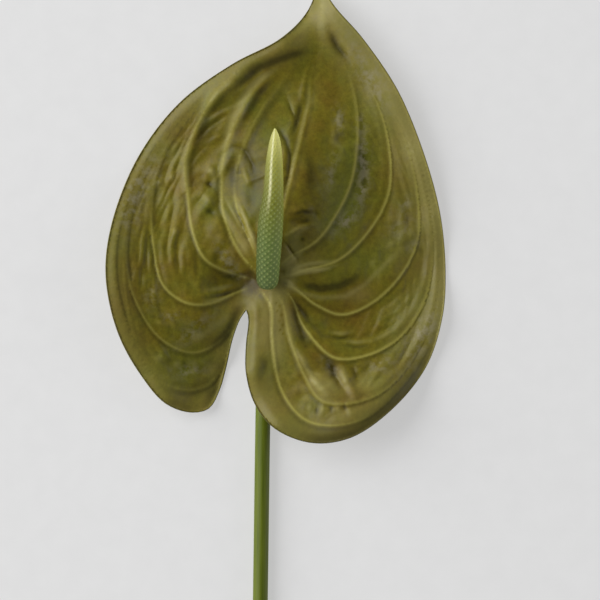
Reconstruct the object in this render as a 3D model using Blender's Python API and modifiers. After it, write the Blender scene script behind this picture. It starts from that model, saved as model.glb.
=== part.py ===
# A cut anthurium: one waxy heart-shaped spathe, its spadix and a length of stalk, lying on its back.
#
# Metres, +Z up. +Y runs from the cut end of the stalk to the tip of the spathe and +Z is the way that the
# spathe faces. The origin is on the surface it lies on, under the middle of its outline.
# It rests on low points: the tip of the left lobe, the upper left and the right margin of the blade, and
# the cut end of the stalk.
#
# The blade is drawn by its own veins. Each half has eight guide lines from the node, where blade, spadix
# and stalk meet, to the tip: the midrib, six veins and the margin. A point of the blade is a column c,
# from 0 at the midrib to 7 at the margin, and a share s of the way along, from 0 at the node to 1 at the
# tip. The lengths below are millimetres from the node, to read like a drawing, and are scaled at the end.

import math

import bmesh
import bpy
import numpy as np
from mathutils import Vector
from mathutils.geometry import delaunay_2d_cdt

MM = 0.001
NODE_AT = (-3.375, 137.475)         # where the node sits in the part's frame

SPATHE_THICKNESS = 0.8
SPATHE_SPACING = 2.75              # between the corners of its faces
LIP_WIDTH = 4.0                    # the outermost zone, where the margin rolls down
LIP_DROP = 0.9                     # how far it rolls down
VEIN_HEIGHT = 0.25
REST_SQUASH = 0.12                 # how far the blade's lowest points are pressed flat

SPADIX_RINGS = 76
SPADIX_SIDES = 32                  # 16 florets round, each two sides wide
FLORET_HEIGHT = 0.4

STEM_RADIUS = 2.9
STEM_TOP_RADIUS = 3.2

NODE = (0, 0)
SINUS = (-8, -10.5)
TIP = (20, 115)
FORK = (-2, -3.5)                  # on the line from the node to the sinus
MIDRIB = [NODE, (4, 18), (8.5, 37), (13.5, 58), (16, 70.5), (17, 80.5), (21, 92.5), (21, 104), TIP]
GUIDES = {
    "left": [
        MIDRIB,
        [NODE, (-5.5, 13.5), (-11, 27), (-12.5, 37), (-9.5, 50.5), (-2, 66), (9, 81), (17.5, 93.5),
         (20.5, 104), TIP],
        [NODE, (-10.5, 11.5), (-16.5, 25.5), (-17.5, 37), (-16, 50.5), (-11, 63.5), (-2, 77.5), (10.5, 89),
         (18, 99.5), TIP],
        [NODE, (-12, 3), (-23.5, 8.5), (-28.5, 19), (-30.5, 33.5), (-31, 48.5), (-25, 64), (-13.5, 79),
         (3, 89.5), (15.5, 100.5), TIP],
        [NODE, (-10.5, -3.5), (-23.5, -8.5), (-32, -7.5), (-40, -1), (-43.5, 12.5), (-44.5, 29.5),
         (-40, 48.5), (-27.5, 66.5), (-10.5, 82.5), (7, 92), (15.5, 102.5), TIP],
        [NODE, (-8, -8), (-17, -21.5), (-28.5, -27), (-41, -21.5), (-50.5, -7), (-54, 7.5), (-52, 27.5),
         (-44, 47.5), (-29.5, 67.5), (-12, 82.5), (6, 92.5), (15.5, 103.5), TIP],
        [FORK, (-10.5, -13), (-15, -26), (-20.5, -38), (-29.5, -41.5), (-43, -37), (-53, -18.5), (-58, 1),
         (-57.5, 18), (-50.5, 40), (-39, 59.5), (-23.5, 75), (-8.5, 84.5), (6, 93), (15.5, 104), TIP],
        [SINUS, (-10.5, -14), (-13.5, -22), (-16, -33), (-18.5, -41.5), (-22.5, -48.5), (-29.5, -50),
         (-39, -46.5), (-48.5, -35.5), (-56.5, -21), (-61, -4), (-61.5, 10.5), (-57.5, 29.5), (-48.5, 50),
         (-33.5, 69), (-13.5, 83.5), (5.5, 93.5), (15.5, 104), TIP],
    ],
    "right": [
        MIDRIB,
        [NODE, (8, 9), (19, 16), (27, 27), (32, 38), (34.5, 52.5), (34.5, 66), (31.5, 79.5), (26, 89.5),
         (22, 101), TIP],
        [NODE, (12.5, 4), (28, 9), (40, 21), (46.5, 33.5), (47.5, 46.5), (44, 64.5), (37, 79), (28.5, 91),
         (23, 102.5), TIP],
        [NODE, (9, -1.5), (18.5, -8.5), (28.5, -12.5), (39.5, -8.5), (50, 1), (57.5, 15), (58, 31.5),
         (53, 54.5), (42.5, 75), (32, 90.5), (24, 103.5), TIP],
        [NODE, (8.5, -5), (14, -17), (25.5, -29), (37.5, -28.5), (50, -22), (60, -8), (63.5, 10.5),
         (61.5, 31.5), (55, 54.5), (44.5, 76), (33, 92), (24.5, 104.5), TIP],
        [NODE, (5.5, -7), (8.5, -20.5), (14.5, -36), (21, -45.5), (32, -46.5), (45, -41.5), (58, -26),
         (64, -9), (65.5, 10.5), (63, 31.5), (56.5, 54.5), (46.5, 76), (34, 92.5), (25.5, 105), TIP],
        [FORK, (1.5, -9), (2, -22), (5.5, -41.5), (14, -52.5), (24, -55), (37.5, -52), (51, -40.5),
         (62, -24), (66.5, -7), (67, 10.5), (64.5, 29.5), (58.5, 51.5), (48.5, 74.5), (35, 93),
         (25.5, 105.5), TIP],
        [SINUS, (-7, -14), (-8, -24), (-8, -35), (-4.5, -47), (3, -56), (17, -61.5), (32, -59.5),
         (48, -48.5), (61, -32.5), (67, -14.5), (68.5, 2.5), (66.5, 25.5), (60, 49.5), (50, 73.5),
         (36.5, 93.5), (26, 105.5), TIP],
    ],
}
# Heights of the blade at places in plan: x, y, z, with z above the table. A thin plate is bent through them.
HEIGHTS = [
    # rim, from the notch round the left lobe, over the tip and round the right lobe
    (-8, -10.5, 8.4), (-10.5, -14, 7.2), (-13.5, -22, 5), (-16, -33, 1.9), (-18.5, -41.5, 1.8),
    (-22.5, -48.5, 4.2), (-29.5, -50, 5), (-39, -46.5, 8.9), (-48.5, -35.5, 8.6), (-56.5, -21, 11.9),
    (-61, -4, 15.7), (-61.5, 10.5, 15.1), (-57.5, 29.5, 7.6), (-48.5, 50, 1.4), (-33.5, 69, 4),
    (-13.5, 83.5, 7.6), (5.5, 93.5, 11), (15.5, 104, 3.7), (20, 115, 5.5), (26, 105.5, 10.3), (36.5, 93.5, 11),
    (50, 73.5, 10.9), (60, 49.5, 8.5), (66.5, 25.5, 5.4), (68.5, 7, 2.1), (67, -14.5, 6.1), (61, -32.5, 4.8),
    (48, -48.5, 13), (32, -59.5, 15.7), (17, -61.5, 14.4), (3, -56, 15.2), (-4.5, -47, 9.7), (-8, -35, 10.5),
    (-8, -24, 9), (-7, -14, 8.5),
    # node, fold and midrib
    (0, 0, 9.9), (5, -8, 10.1), (5.5, -20, 9.7), (4, -35, 9), (6, -48, 10.6), (4, 18, 14.2), (8.5, 37, 13.3),
    (13.5, 58, 9.3), (16.5, 78, 5.1), (20, 92, 6.7),
    # left wing and lobe
    (-45, 10, 10.8), (-45, 30, 2.8), (-30, 10, 10.6), (-30, 35, 3.8), (-20, 20, 8.9), (-20, 42, 3.3),
    (-12, 30, 7.7), (-6, 15, 11.5), (-28, 55, 2.9), (-20, 68, 6.5), (-9, 79, 8.6), (-18, 56, 4.8),
    (-8, 66, 8.2), (3, 78, 5.3), (12, 88, 8.4), (-38, 56, 2), (-25, -8, 11.7), (-40, -10, 11.9),
    (-51, -12, 13.2), (-30, -25, 6.1), (-42, -30, 7.6), (-22, -30, 2.5), (-28, -42, 3), (-10, -3, 4.6),
    (-15, -12, 7.5),
    # right wing and lobe
    (14, 25, 12.9), (22, 25, 9.7), (30, 25, 6.7), (40, 25, 2.9), (50, 25, 2), (58, 28, 2.4), (24, 50, 7.9),
    (33, 52, 6.6), (43, 55, 3.9), (52, 52, 5.1), (27, 72, 4.5), (37, 72, 5.4), (10, 4, 11.7), (18, 5, 10.1),
    (28, 5, 7.7), (38, 3, 4.9), (48, 2, 3.8), (58, 4, 0.6), (15, -12, 7.9), (25, -15, 5.5), (35, -18, 4.3),
    (45, -20, 4.2), (56, -20, 4.8), (15, -32, 11.6), (25, -35, 11), (36, -38, 11.3), (46, -36, 10.3),
    (15, -50, 11.9), (27, -52, 15.2),
]
# Puckers that stand out, in the same terms.
PUCKERS = [
    (-6, 24.5, 65, 10, 1.6, 0.2), (-36.5, 40, 10, 3.5, 2, 0.4), (-42, 37, 40, 3.5, 2, 0.3),
    (-22, 42.5, 0, 3, 2, 0.7), (-23.5, 29.5, 60, 3.5, 2, 0.6), (-35, 18, 70, 4, 2, 0.7),
    (-46.5, 25.5, 60, 4, 2, 0.2), (-16, 45, 60, 6, 2, 0.8), (-23.5, 62, 20, 4.5, 2.3, 0.9),
    (-20, 71.5, 60, 5.5, 2.3, 1.1), (-4.5, 80.5, 50, 4, 2.3, -0.7), (8, 69.5, -60, 4, 1.6, -0.3),
    (30, 54.5, 10, 4.5, 1.6, -0.4), (36.5, 46.5, 80, 5.5, 1.6, 0.1), (51, 24.5, 10, 4.5, 2, 0.2),
    (54, 17, 30, 4.5, 2, 0.4), (40, 6.5, 60, 4, 2, -0.2), (12.5, 23, 0, 4, 2.3, -0.8),
    (11, 15.5, 30, 4, 1.6, -0.2), (14, 27, 20, 4.5, 1.6, 0.6), (46.5, -16.5, 30, 8, 1.8, 0.3),
    (27, -20, 0, 8, 1.5, 0.2), (21, -39.5, -50, 6, 1.6, 0.5), (27, -37.5, -60, 4.5, 1.6, -1),
    (32.5, -40.5, -65, 4, 1.6, 0.7), (16.5, -34.5, -45, 4.5, 1.6, -1), (14.5, -49, 70, 3, 1.6, 0.2),
    (21, -50, 80, 3, 1.6, 0.2), (28, -49, 80, 3, 1.6, -0.2), (-22, -17.5, 32, 9, 1.8, 0.2),
    (-16.5, -1.5, 25, 8.5, 1.3, 0.2), (-41, -30, 60, 4, 2, 0.2),
]
# Sag of each panel from the midrib outward, and the ridge beside its vein.
SAGS = {"left": (0, -0.6, -0.1, 0.3, -0.1, -0.1, 0.4), "right": (-0.6, 0.2, -0.4, 0.2, 0.6, 0.7, -0.3)}
RIDGES = {"left": (0.5, 0.45, 0, 0.15, 0.15, 0.35, 0.1), "right": (0.15, 0.25, 0.15, 0.45, 0.4, 0, 0)}

# Spadix axis: x, y, z and radius.
SPADIX_AXIS = [
    (0, -1.45, 14.15, 3.1), (0.1, 0, 14.9, 3.8), (0.4, 7.3, 18.55, 4.3), (1.35, 21.8, 25.65, 4.55),
    (2.45, 34, 31.65, 3.65), (2.85, 45.8, 37.45, 3), (3.1, 52.6, 40.65, 2.1), (3.15, 56, 42.25, 1.2),
    (3.1, 57.8, 43.15, 0.4),
]
# Stalk axis, from the cut end up to the back of the spathe: x, y, z.
STEM_AXIS = [
    (-6.6, -390, 2.9), (-5.4, -300, 3.1), (-4.1, -210, 3.2), (-2.7, -125, 3.2), (-2.15, -85, 3.3),
    (-1.8, -60, 3.6), (-1.4, -42, 4.2), (-0.8, -28, 4.7), (-0.3, -17, 5.0), (0.1, -10, 5.2), (0.3, -4.6, 5.3),
]


def smooth_step(low, high, value):
    """0 below low, 1 above high, with a smooth rise between."""
    t = np.clip((value - low) / (high - low), 0, 1)
    return t * t * (3 - 2 * t)


def curve_through(points, count):
    """Centripetal Catmull-Rom curve through the points, cut into steps of equal length, and its length."""
    p = np.array(points, float)
    knots = np.r_[0, np.cumsum(np.linalg.norm(np.diff(p, axis=0), axis=1) ** 0.5)]
    p = np.vstack([2 * p[0] - p[1], p, 2 * p[-1] - p[-2]])
    t = np.r_[-knots[1], knots, 2 * knots[-1] - knots[-2]]
    x = np.linspace(0, knots[-1], 12 * count)
    i = np.clip(np.searchsorted(knots, x, side="right") - 1, 0, len(knots) - 2)
    x = x[:, None]
    t0, t1, t2, t3 = (t[i + k][:, None] for k in range(4))
    p0, p1, p2, p3 = (p[i + k] for k in range(4))
    a1 = ((t1 - x) * p0 + (x - t0) * p1) / (t1 - t0)
    a2 = ((t2 - x) * p1 + (x - t1) * p2) / (t2 - t1)
    a3 = ((t3 - x) * p2 + (x - t2) * p3) / (t3 - t2)
    b1 = ((t2 - x) * a1 + (x - t0) * a2) / (t2 - t0)
    b2 = ((t3 - x) * a2 + (x - t1) * a3) / (t3 - t1)
    curve = ((t2 - x) * b1 + (x - t1) * b2) / (t2 - t1)
    run = np.r_[0, np.cumsum(np.linalg.norm(np.diff(curve, axis=0), axis=1))]
    even = np.linspace(0, run[-1], count)
    return np.column_stack([np.interp(even, run, axis) for axis in curve.T]), run[-1]


CURVES = {side: [curve_through(points, 121) for points in guides] for side, guides in GUIDES.items()}
OUTLINE = np.vstack([CURVES["left"][-1][0], CURVES["right"][-1][0][-2::-1]])


def blade_plan(side, column, share):
    """Plan position, share f across the sector, sector number, its width and the run along it."""
    sector = np.clip(np.floor(column).astype(int), 0, 6)
    f = column - sector
    lines = np.array([curve for curve, _ in CURVES[side]])
    lengths = np.array([length for _, length in CURVES[side]])
    along = share * (lines.shape[1] - 1)
    step = np.clip(np.floor(along).astype(int), 0, lines.shape[1] - 2)
    rest = (along - step)[..., None]
    inner = lines[sector, step] * (1 - rest) + lines[sector, step + 1] * rest
    outer = lines[sector + 1, step] * (1 - rest) + lines[sector + 1, step + 1] * rest
    plan = inner * (1 - f[..., None]) + outer * f[..., None]
    run = share * (lengths[sector] * (1 - f) + lengths[sector + 1] * f)
    return plan[..., 0], plan[..., 1], f, sector, np.linalg.norm(outer - inner, axis=-1), run


def margin_distance(x, y):
    """Distance in plan to the nearest point of the outline."""
    start, span = OUTLINE[:-1], np.diff(OUTLINE, axis=0)
    here = np.stack([x, y], -1)[..., None, :]
    t = np.clip(((here - start) * span).sum(-1) / (span ** 2).sum(-1), 0, 1)
    return np.linalg.norm(here - start - t[..., None] * span, axis=-1).min(-1)


def swell(x, y, place):
    """A long bump, or hollow, with soft sides."""
    cx, cy, angle, half_length, half_width, height = place
    ca, sa = math.cos(math.radians(angle)), math.sin(math.radians(angle))
    u = (x - cx) * ca + (y - cy) * sa
    v = (y - cy) * ca - (x - cx) * sa
    return height * np.exp(-(u / half_length) ** 2 - (v / half_width) ** 2)


def bending(x, y, places):
    """r squared times log r from every point to every place: the bend of a thin plate at a point load."""
    r2 = (x[:, None] - places[:, 0]) ** 2 + (y[:, None] - places[:, 1]) ** 2
    return 0.5 * r2 * np.log(np.maximum(r2, 1e-9))


def plate_loads(places):
    """Loads and plane of the thin plate that passes through the places."""
    flat = np.column_stack([np.ones(len(places)), places[:, :2]])
    system = np.block([[bending(places[:, 0], places[:, 1], places), flat], [flat.T, np.zeros((3, 3))]])
    return np.linalg.solve(system, np.r_[places[:, 2], 0, 0, 0])


PLATE = np.array(HEIGHTS, float)
LOADS = plate_loads(PLATE)


def blade_form(x, y, d):
    """Height of the blade without its veins and puckers, at distance d from the edge."""
    z = bending(x, y, PLATE) @ LOADS[:-3] + LOADS[-3] + LOADS[-2] * x + LOADS[-1] * y
    return z - LIP_DROP * (1 - smooth_step(0, LIP_WIDTH, d))


def blade_relief(side, x, y, f, sector, width, run, share, d):
    """Raised veins, the panels between them, and the puckers across the panels."""
    wide = smooth_step(4, 14, width)
    vein = VEIN_HEIGHT * np.exp(-(np.minimum(f, 1 - f) * width / 0.85) ** 2) * wide
    # panels sag steeply just outside a vein on the lobes and the right, but just inside the next at the upper left
    lean = smooth_step(0.2, 0.5, share) * (side == "left")
    rise, fall = 1 + lean, 2 - lean
    deepest = rise / (rise + fall)
    shape = f ** rise * (1 - f) ** fall / (deepest ** rise * (1 - deepest) ** fall)
    panel = -np.array(SAGS[side])[sector] * np.minimum(width / 12, 1) * shape
    shoulder = 0.8 - 0.6 * smooth_step(0.3, 0.7, lean)
    panel = panel + np.array(RIDGES[side])[sector] * np.exp(-((f - shoulder) / 0.1) ** 2)
    low, high = (0.8, 1.0) if side == "left" else (0.55, 0.85)
    fade = 1 - smooth_step(low, high, share)
    z = (vein * smooth_step(-1, 3, d) + panel * wide * (0.3 + 0.7 * smooth_step(0, 12, d))) * fade
    z = z * smooth_step(0, 5, run)
    for place in PUCKERS:
        z = z + swell(x, y, place) * smooth_step(0, 6, d)
    return z


def blade_height(side, column, share):
    """Plan position and height of the middle of the blade's thickness."""
    x, y, f, sector, width, run = blade_plan(side, column, share)
    d = margin_distance(x, y)
    z = blade_form(x, y, d) + blade_relief(side, x, y, f, sector, width, run, share, d)
    return x, y, z


def material(name, hex_colour, roughness):
    """Principled material with an sRGB hex colour."""
    srgb = [int(hex_colour[i:i + 2], 16) / 255 for i in (0, 2, 4)]
    linear = [v / 12.92 if v <= 0.04045 else ((v + 0.055) / 1.055) ** 2.4 for v in srgb]
    mat = bpy.data.materials.new(name)
    mat.use_nodes = True
    shader = mat.node_tree.nodes["Principled BSDF"]
    shader.inputs["Base Color"].default_value = (*linear, 1)
    shader.inputs["Roughness"].default_value = roughness
    shader.inputs["Metallic"].default_value = 0
    mat.diffuse_color = (*linear, 1)
    return mat


def in_frame(x, y, z):
    """Millimetres from the node to metres in the part's frame."""
    return Vector(((x + NODE_AT[0]) * MM, (y + NODE_AT[1]) * MM, z * MM))


def add_object(name, data, mat):
    """Object of this data and material in the part's collection."""
    data.materials.append(mat)
    obj = bpy.data.objects.new(name, data)
    collection.objects.link(obj)
    return obj


def grid_faces(bm, verts, closed):
    """Triangles between neighbouring rows of vertices, all split along the same diagonal."""
    for a, b in zip(verts[:-1], verts[1:]):
        count = len(a)
        for i in range(count if closed else count - 1):
            j = (i + 1) % count
            bm.faces.new((a[i], b[i], b[j]))
            bm.faces.new((a[i], b[j], a[j]))


def blade_lines():
    """Rows of places along the margins, the veins, their flanks and the panels, with the closeness allowed."""
    for side in ("left", "right"):
        for column in (7, 0, 1, 2, 3, 4, 5, 6):
            yield side, np.full(70 if column == 7 else 52, float(column)), 0.6
    for side in ("left", "right"):
        share = np.linspace(0, 1, 60)
        for vein in range(1, 7):
            for inward in (True, False):
                sector = vein - 1 if inward else vein
                width = blade_plan(side, np.full(60, sector + 0.5), share)[4]
                flank = np.minimum(1.5 / np.maximum(width, 0.1), 0.3)
                yield side, vein + (-flank if inward else flank), 0.48
    for side in ("left", "right"):
        for part_way in np.arange(0.5, 56) / 8:
            yield side, np.full(80, part_way), 1.0


def blade_sheet():
    """Corners of the blade's middle surface and the triangles between them, with edges along the veins."""
    corners, heights, chains = [], [], []
    cells = {}

    def too_close(x, y, gap):
        reach = int(gap / SPATHE_SPACING) + 1
        i, j = int(x // SPATHE_SPACING), int(y // SPATHE_SPACING)
        near = (n for di in range(-reach, reach + 1) for dj in range(-reach, reach + 1)
                for n in cells.get((i + di, j + dj), ()))
        return any(math.dist(corners[n], (x, y)) < gap for n in near)

    for side, column, closeness in blade_lines():
        share = np.linspace(0, 1, len(column))
        chain = []
        for x, y, z in zip(*blade_height(side, column, share)):
            here = next((n for n, p in enumerate(corners) if math.dist(p, (x, y)) < 0.01), None)
            gap = closeness * SPATHE_SPACING * (0.55 if math.hypot(x, y) < 9 else 1)
            if here is None and not too_close(x, y, gap):
                here = len(corners)
                corners.append((x, y))
                heights.append(z)
                cells.setdefault((int(x // SPATHE_SPACING), int(y // SPATHE_SPACING)), []).append(here)
            chain.append(here)
        if closeness == 0.6:
            links = [(a, b) for a, b in zip(chain, chain[1:]) if a is not None and b is not None and a != b]
            if column[0] == 7:
                kept = [n for n in chain if n is not None]
                links = list(zip(kept, kept[1:]))
            chains += links
    plan, _, faces, sources, _, _ = delaunay_2d_cdt([Vector(p) for p in corners], chains, [], 1, 1e-6)
    z = [heights[source[0]] for source in sources]
    return [(p.x, p.y, h) for p, h in zip(plan, z)], faces


def build_spathe():
    """Middle surface, thickened alike on both faces, and pressed flat where it rests."""
    places, faces = blade_sheet()
    sheet = bpy.data.meshes.new("spathe_sheet")
    sheet.from_pydata([in_frame(*p) for p in places], [], faces)

    draft = bpy.data.objects.new("spathe_draft", sheet)
    collection.objects.link(draft)
    solid = draft.modifiers.new("thickness", "SOLIDIFY")
    solid.thickness = SPATHE_THICKNESS * MM
    solid.offset = 0
    bpy.context.view_layer.update()
    mesh = bpy.data.meshes.new_from_object(draft.evaluated_get(bpy.context.evaluated_depsgraph_get()))
    bpy.data.objects.remove(draft)

    bm = bmesh.new()
    bm.from_mesh(mesh)
    bmesh.ops.triangulate(bm, faces=[face for face in bm.faces if len(face.verts) > 3])
    lowest = min(v.co.z for v in bm.verts)
    for v in bm.verts:
        v.co.z = max(v.co.z - lowest - REST_SQUASH * MM, 0)
    bm.to_mesh(mesh)
    bm.free()
    mesh.name = "spathe"
    mesh.shade_smooth()
    return add_object("spathe", mesh, material("waxy olive spathe", "6A6223", 0.32))


def build_spadix():
    """Rings round a bent axis, with every second corner raised into a floret."""
    axis, _ = curve_through(SPADIX_AXIS, SPADIX_RINGS)
    bm = bmesh.new()
    rings = []
    for j, (x, y, z, radius) in enumerate(axis):
        before, after = axis[max(j - 1, 0)], axis[min(j + 1, SPADIX_RINGS - 1)]
        along = Vector(after[:3] - before[:3]).normalized()
        across = along.cross(Vector((0, 0, 1))).normalized()
        up = across.cross(along)
        ring = []
        for k in range(SPADIX_SIDES):
            angle = 2 * math.pi * k / SPADIX_SIDES
            floret = FLORET_HEIGHT * min(1, radius / 3) if (j + k) % 2 == 0 and 0 < j < SPADIX_RINGS - 2 else 0
            out = across * math.cos(angle) + up * math.sin(angle)
            ring.append(bm.verts.new(in_frame(*(Vector((x, y, z)) + out * (radius + floret)))))
        rings.append(ring)
    grid_faces(bm, rings, True)
    bm.faces.new(rings[0])
    bm.faces.new(rings[-1])
    bmesh.ops.recalc_face_normals(bm, faces=bm.faces)
    mesh = bpy.data.meshes.new("spadix")
    bm.to_mesh(mesh)
    bm.free()
    mesh.shade_smooth()
    mesh.set_sharp_from_angle(angle=math.radians(60))
    return add_object("spadix", mesh, material("spadix florets", "6D7A38", 0.45))


def build_stem():
    """Round stalk as a beveled curve, cut off square at its lower end."""
    axis, _ = curve_through(STEM_AXIS, 40)
    # the long straight run needs fewer points than the bend behind the spathe
    axis = [p for i, p in enumerate(axis) if i % 4 == 0 or i > 30]
    curve = bpy.data.curves.new("stem", "CURVE")
    curve.dimensions = "3D"
    curve.bevel_depth = STEM_RADIUS * MM
    curve.bevel_resolution = 6
    curve.use_fill_caps = True
    spline = curve.splines.new("POLY")
    spline.points.add(len(axis) - 1)
    for point, (x, y, z) in zip(spline.points, axis):
        point.co = (*in_frame(x, y, z), 1)
        point.radius = 1 + (STEM_TOP_RADIUS / STEM_RADIUS - 1) * float(smooth_step(-60, -5, y))
    spline.use_smooth = True
    return add_object("stem", curve, material("green stalk", "5C7230", 0.42))


for old in list(bpy.data.objects):
    bpy.data.objects.remove(old)
collection = bpy.data.collections.new("cut_anthurium")
bpy.context.scene.collection.children.link(collection)

build_spathe()
build_spadix()
build_stem()
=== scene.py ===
# %% [markdown]
# # A cut anthurium, step by step
#
# An anthurium flower is three things on one axis: a waxy heart-shaped leaf called the spathe, the spadix
# that stands on it with its florets, and the stalk behind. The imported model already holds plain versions
# of all three at their real size. This script replaces each with a finer mesh on the same places, and
# gives each a material built from nodes.

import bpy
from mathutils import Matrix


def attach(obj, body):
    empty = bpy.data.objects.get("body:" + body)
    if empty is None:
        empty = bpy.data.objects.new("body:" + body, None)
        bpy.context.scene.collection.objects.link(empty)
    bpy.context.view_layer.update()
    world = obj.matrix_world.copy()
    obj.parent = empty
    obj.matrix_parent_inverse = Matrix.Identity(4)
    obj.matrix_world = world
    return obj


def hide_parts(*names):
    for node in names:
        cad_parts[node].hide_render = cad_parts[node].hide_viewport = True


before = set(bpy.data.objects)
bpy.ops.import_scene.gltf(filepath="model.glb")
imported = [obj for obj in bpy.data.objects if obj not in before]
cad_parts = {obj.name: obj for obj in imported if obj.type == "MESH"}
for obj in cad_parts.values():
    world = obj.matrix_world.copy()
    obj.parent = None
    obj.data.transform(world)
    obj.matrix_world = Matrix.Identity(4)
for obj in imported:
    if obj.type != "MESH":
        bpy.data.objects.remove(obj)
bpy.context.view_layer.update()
print("nodes:", sorted(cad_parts))

# %% Libraries and units
import math

import bpy
import numpy as np
from mathutils import Vector, kdtree, noise
from mathutils.geometry import delaunay_2d_cdt

MM = 0.001
NODE_AT = (-3.375, 137.475)         # where the flower's node sits in the frame


def in_frame(points):
    """Millimetres from the flower's node to metres in the model's frame."""
    return (np.asarray(points, float) + (*NODE_AT, 0)) * MM


# %% [markdown]
# ## Nodes and colours
#
# Every material below is a small tree of nodes. One helper adds a node, sets its values and makes its
# links, so that a material reads as a list. Colours are written as sRGB hex, the way a colour picker
# shows them, and shaders want linear light, so one function turns the one into the other. Patterns are
# given by the size of their features on the real flower.

# %% Colour and node helpers
def linear(hex_colour):
    """sRGB hex to a linear RGBA tuple."""
    srgb = [int(hex_colour[i:i + 2], 16) / 255 for i in (1, 3, 5)]
    return (*(v / 12.92 if v <= 0.04045 else ((v + 0.055) / 1.055) ** 2.4 for v in srgb), 1.0)


def add_node(tree, kind, settings=None, links=None, ramp=None):
    """Add a shader node; settings are its properties or inputs, links join its inputs to other outputs."""
    node = tree.nodes.new("ShaderNode" + kind)
    for key, value in (settings or {}).items():
        if isinstance(key, str) and hasattr(node, key):
            setattr(node, key, value)
        else:
            node.inputs[key].default_value = value
    for key, source in (links or {}).items():
        tree.links.new(source, node.inputs[key])
    if ramp:
        stops = node.color_ramp.elements
        while len(stops) < len(ramp):
            stops.new(0.5)
        for stop, (place, colour) in zip(stops, ramp):
            stop.position = place
            stop.color = colour
    return node


def grain(size):
    """Noise scale whose features are this many millimetres wide."""
    return 1 / (size * MM)


def new_material(name, settings):
    """Material with a Principled shader, set to these values, and its output."""
    mat = bpy.data.materials.new(name)
    mat.use_nodes = True
    mat.node_tree.nodes.clear()
    shader = add_node(mat.node_tree, "BsdfPrincipled", settings)
    add_node(mat.node_tree, "OutputMaterial", links={"Surface": shader.outputs["BSDF"]})
    return mat, mat.node_tree, shader


# %% [markdown]
# ## Camera
#
# The flower lies on its back, so the camera looks straight down on it. Product shots like this use a long
# lens from far away, which keeps the outline nearly flat. Here it is 2.5 m up, and the lens is chosen so
# that the frame is 230 mm wide at the height of the blade.

# %% Camera
FRAME_WIDTH = 229.8
VIEW_CENTRE = (12.6, -6.9)
CAMERA_HEIGHT = 2500.0
BLADE_LEVEL = 15.0

camera_data = bpy.data.cameras.new("camera")
camera_data.sensor_width = 36
camera_data.lens = 36 * (CAMERA_HEIGHT - BLADE_LEVEL) / FRAME_WIDTH
camera = bpy.data.objects.new("camera", camera_data)
bpy.context.scene.collection.objects.link(camera)
camera.location = in_frame((*VIEW_CENTRE, CAMERA_HEIGHT))
camera.rotation_euler = (0, 0, 0)
bpy.context.scene.camera = camera
print(f"lens {camera_data.lens:.0f} mm")


# %% [markdown]
# ## Floor and light
#
# The photo's ground is an even pale grey. A wide floor of soft grey does it, and it glows a little so
# that the shadow on it stays faint. The light is a big soft box at the upper left, a smaller and weaker
# one low at the right, and a dim room. The room stays dim on purpose: a waxy leaf that faces the camera
# mirrors what is above it, and a bright ceiling would wash its deep olive out.

# %% Floor
HALF_FLOOR = 4                       # metres

floor_mesh = bpy.data.meshes.new("floor")
floor_mesh.from_pydata([(x * HALF_FLOOR, y * HALF_FLOOR, 0) for x, y in ((-1, -1), (1, -1), (1, 1), (-1, 1))],
                       [], [(0, 1, 2, 3)])
floor = bpy.data.objects.new("floor", floor_mesh)
bpy.context.scene.collection.objects.link(floor)
floor_paint, tree, shader = new_material(
    "matte grey studio floor", {"Roughness": 0.9, "Specular IOR Level": 0.1,
                                "Emission Color": linear("#FFFFFF"), "Emission Strength": 0.47})
paint_grain = add_node(tree, "TexNoise", {"Scale": grain(1.1111), "Detail": 2.0})
greys = add_node(tree, "ValToRGB", links={"Fac": paint_grain.outputs["Fac"]},
                 ramp=[(0.3, linear("#989898")), (0.7, linear("#9C9C9C"))])
tree.links.new(greys.outputs["Color"], shader.inputs["Base Color"])
floor_mesh.materials.append(floor_paint)


# %% Lights
BLADE_MIDDLE = (5, 20, 0)


def soft_light(name, place, size, watts):
    """Square soft box aimed at the blade's middle; its place from there and its size are in metres."""
    data = bpy.data.lights.new(name, "AREA")
    data.shape = "SQUARE"
    data.size = size
    data.energy = watts
    light = bpy.data.objects.new(name, data)
    bpy.context.scene.collection.objects.link(light)
    aim = Vector(in_frame(BLADE_MIDDLE))
    light.location = aim + Vector(place)
    light.rotation_euler = (-Vector(place)).to_track_quat("-Z", "Y").to_euler()


soft_light("key", (-1.77, 0.75, 1.2), 2.2, 72)
soft_light("fill", (1.9, 0.3, 0.7), 1.2, 7)
world = bpy.data.worlds.new("light tent")
bpy.context.scene.world = world
world.use_nodes = True
tree = world.node_tree
direction = add_node(tree, "TexCoord")
upward = add_node(tree, "SeparateXYZ", links={"Vector": direction.outputs["Generated"]})
walls = add_node(tree, "MapRange", {"From Max": 0.8, "To Min": 0.4, "To Max": 0.12},
                 {"Value": upward.outputs["Z"]})
tree.nodes["Background"].inputs["Color"].default_value = linear("#FFFFFF")
tree.links.new(walls.outputs["Result"], tree.nodes["Background"].inputs["Strength"])
bpy.context.scene.view_settings.view_transform = "Standard"

# %% [markdown]
# ## The lines of the blade
#
# The blade is drawn by its veins. Each half has eight guide lines from the node to the tip: the midrib,
# six veins that loop out into the lobe and back, and the margin. They are read from the photo with a
# ruler, in millimetres from the node, and the same lines shape the plain solid. A place on the blade is
# a column, from 0 at the midrib to 7 at the margin, and a share of the way from the node to the tip.

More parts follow.
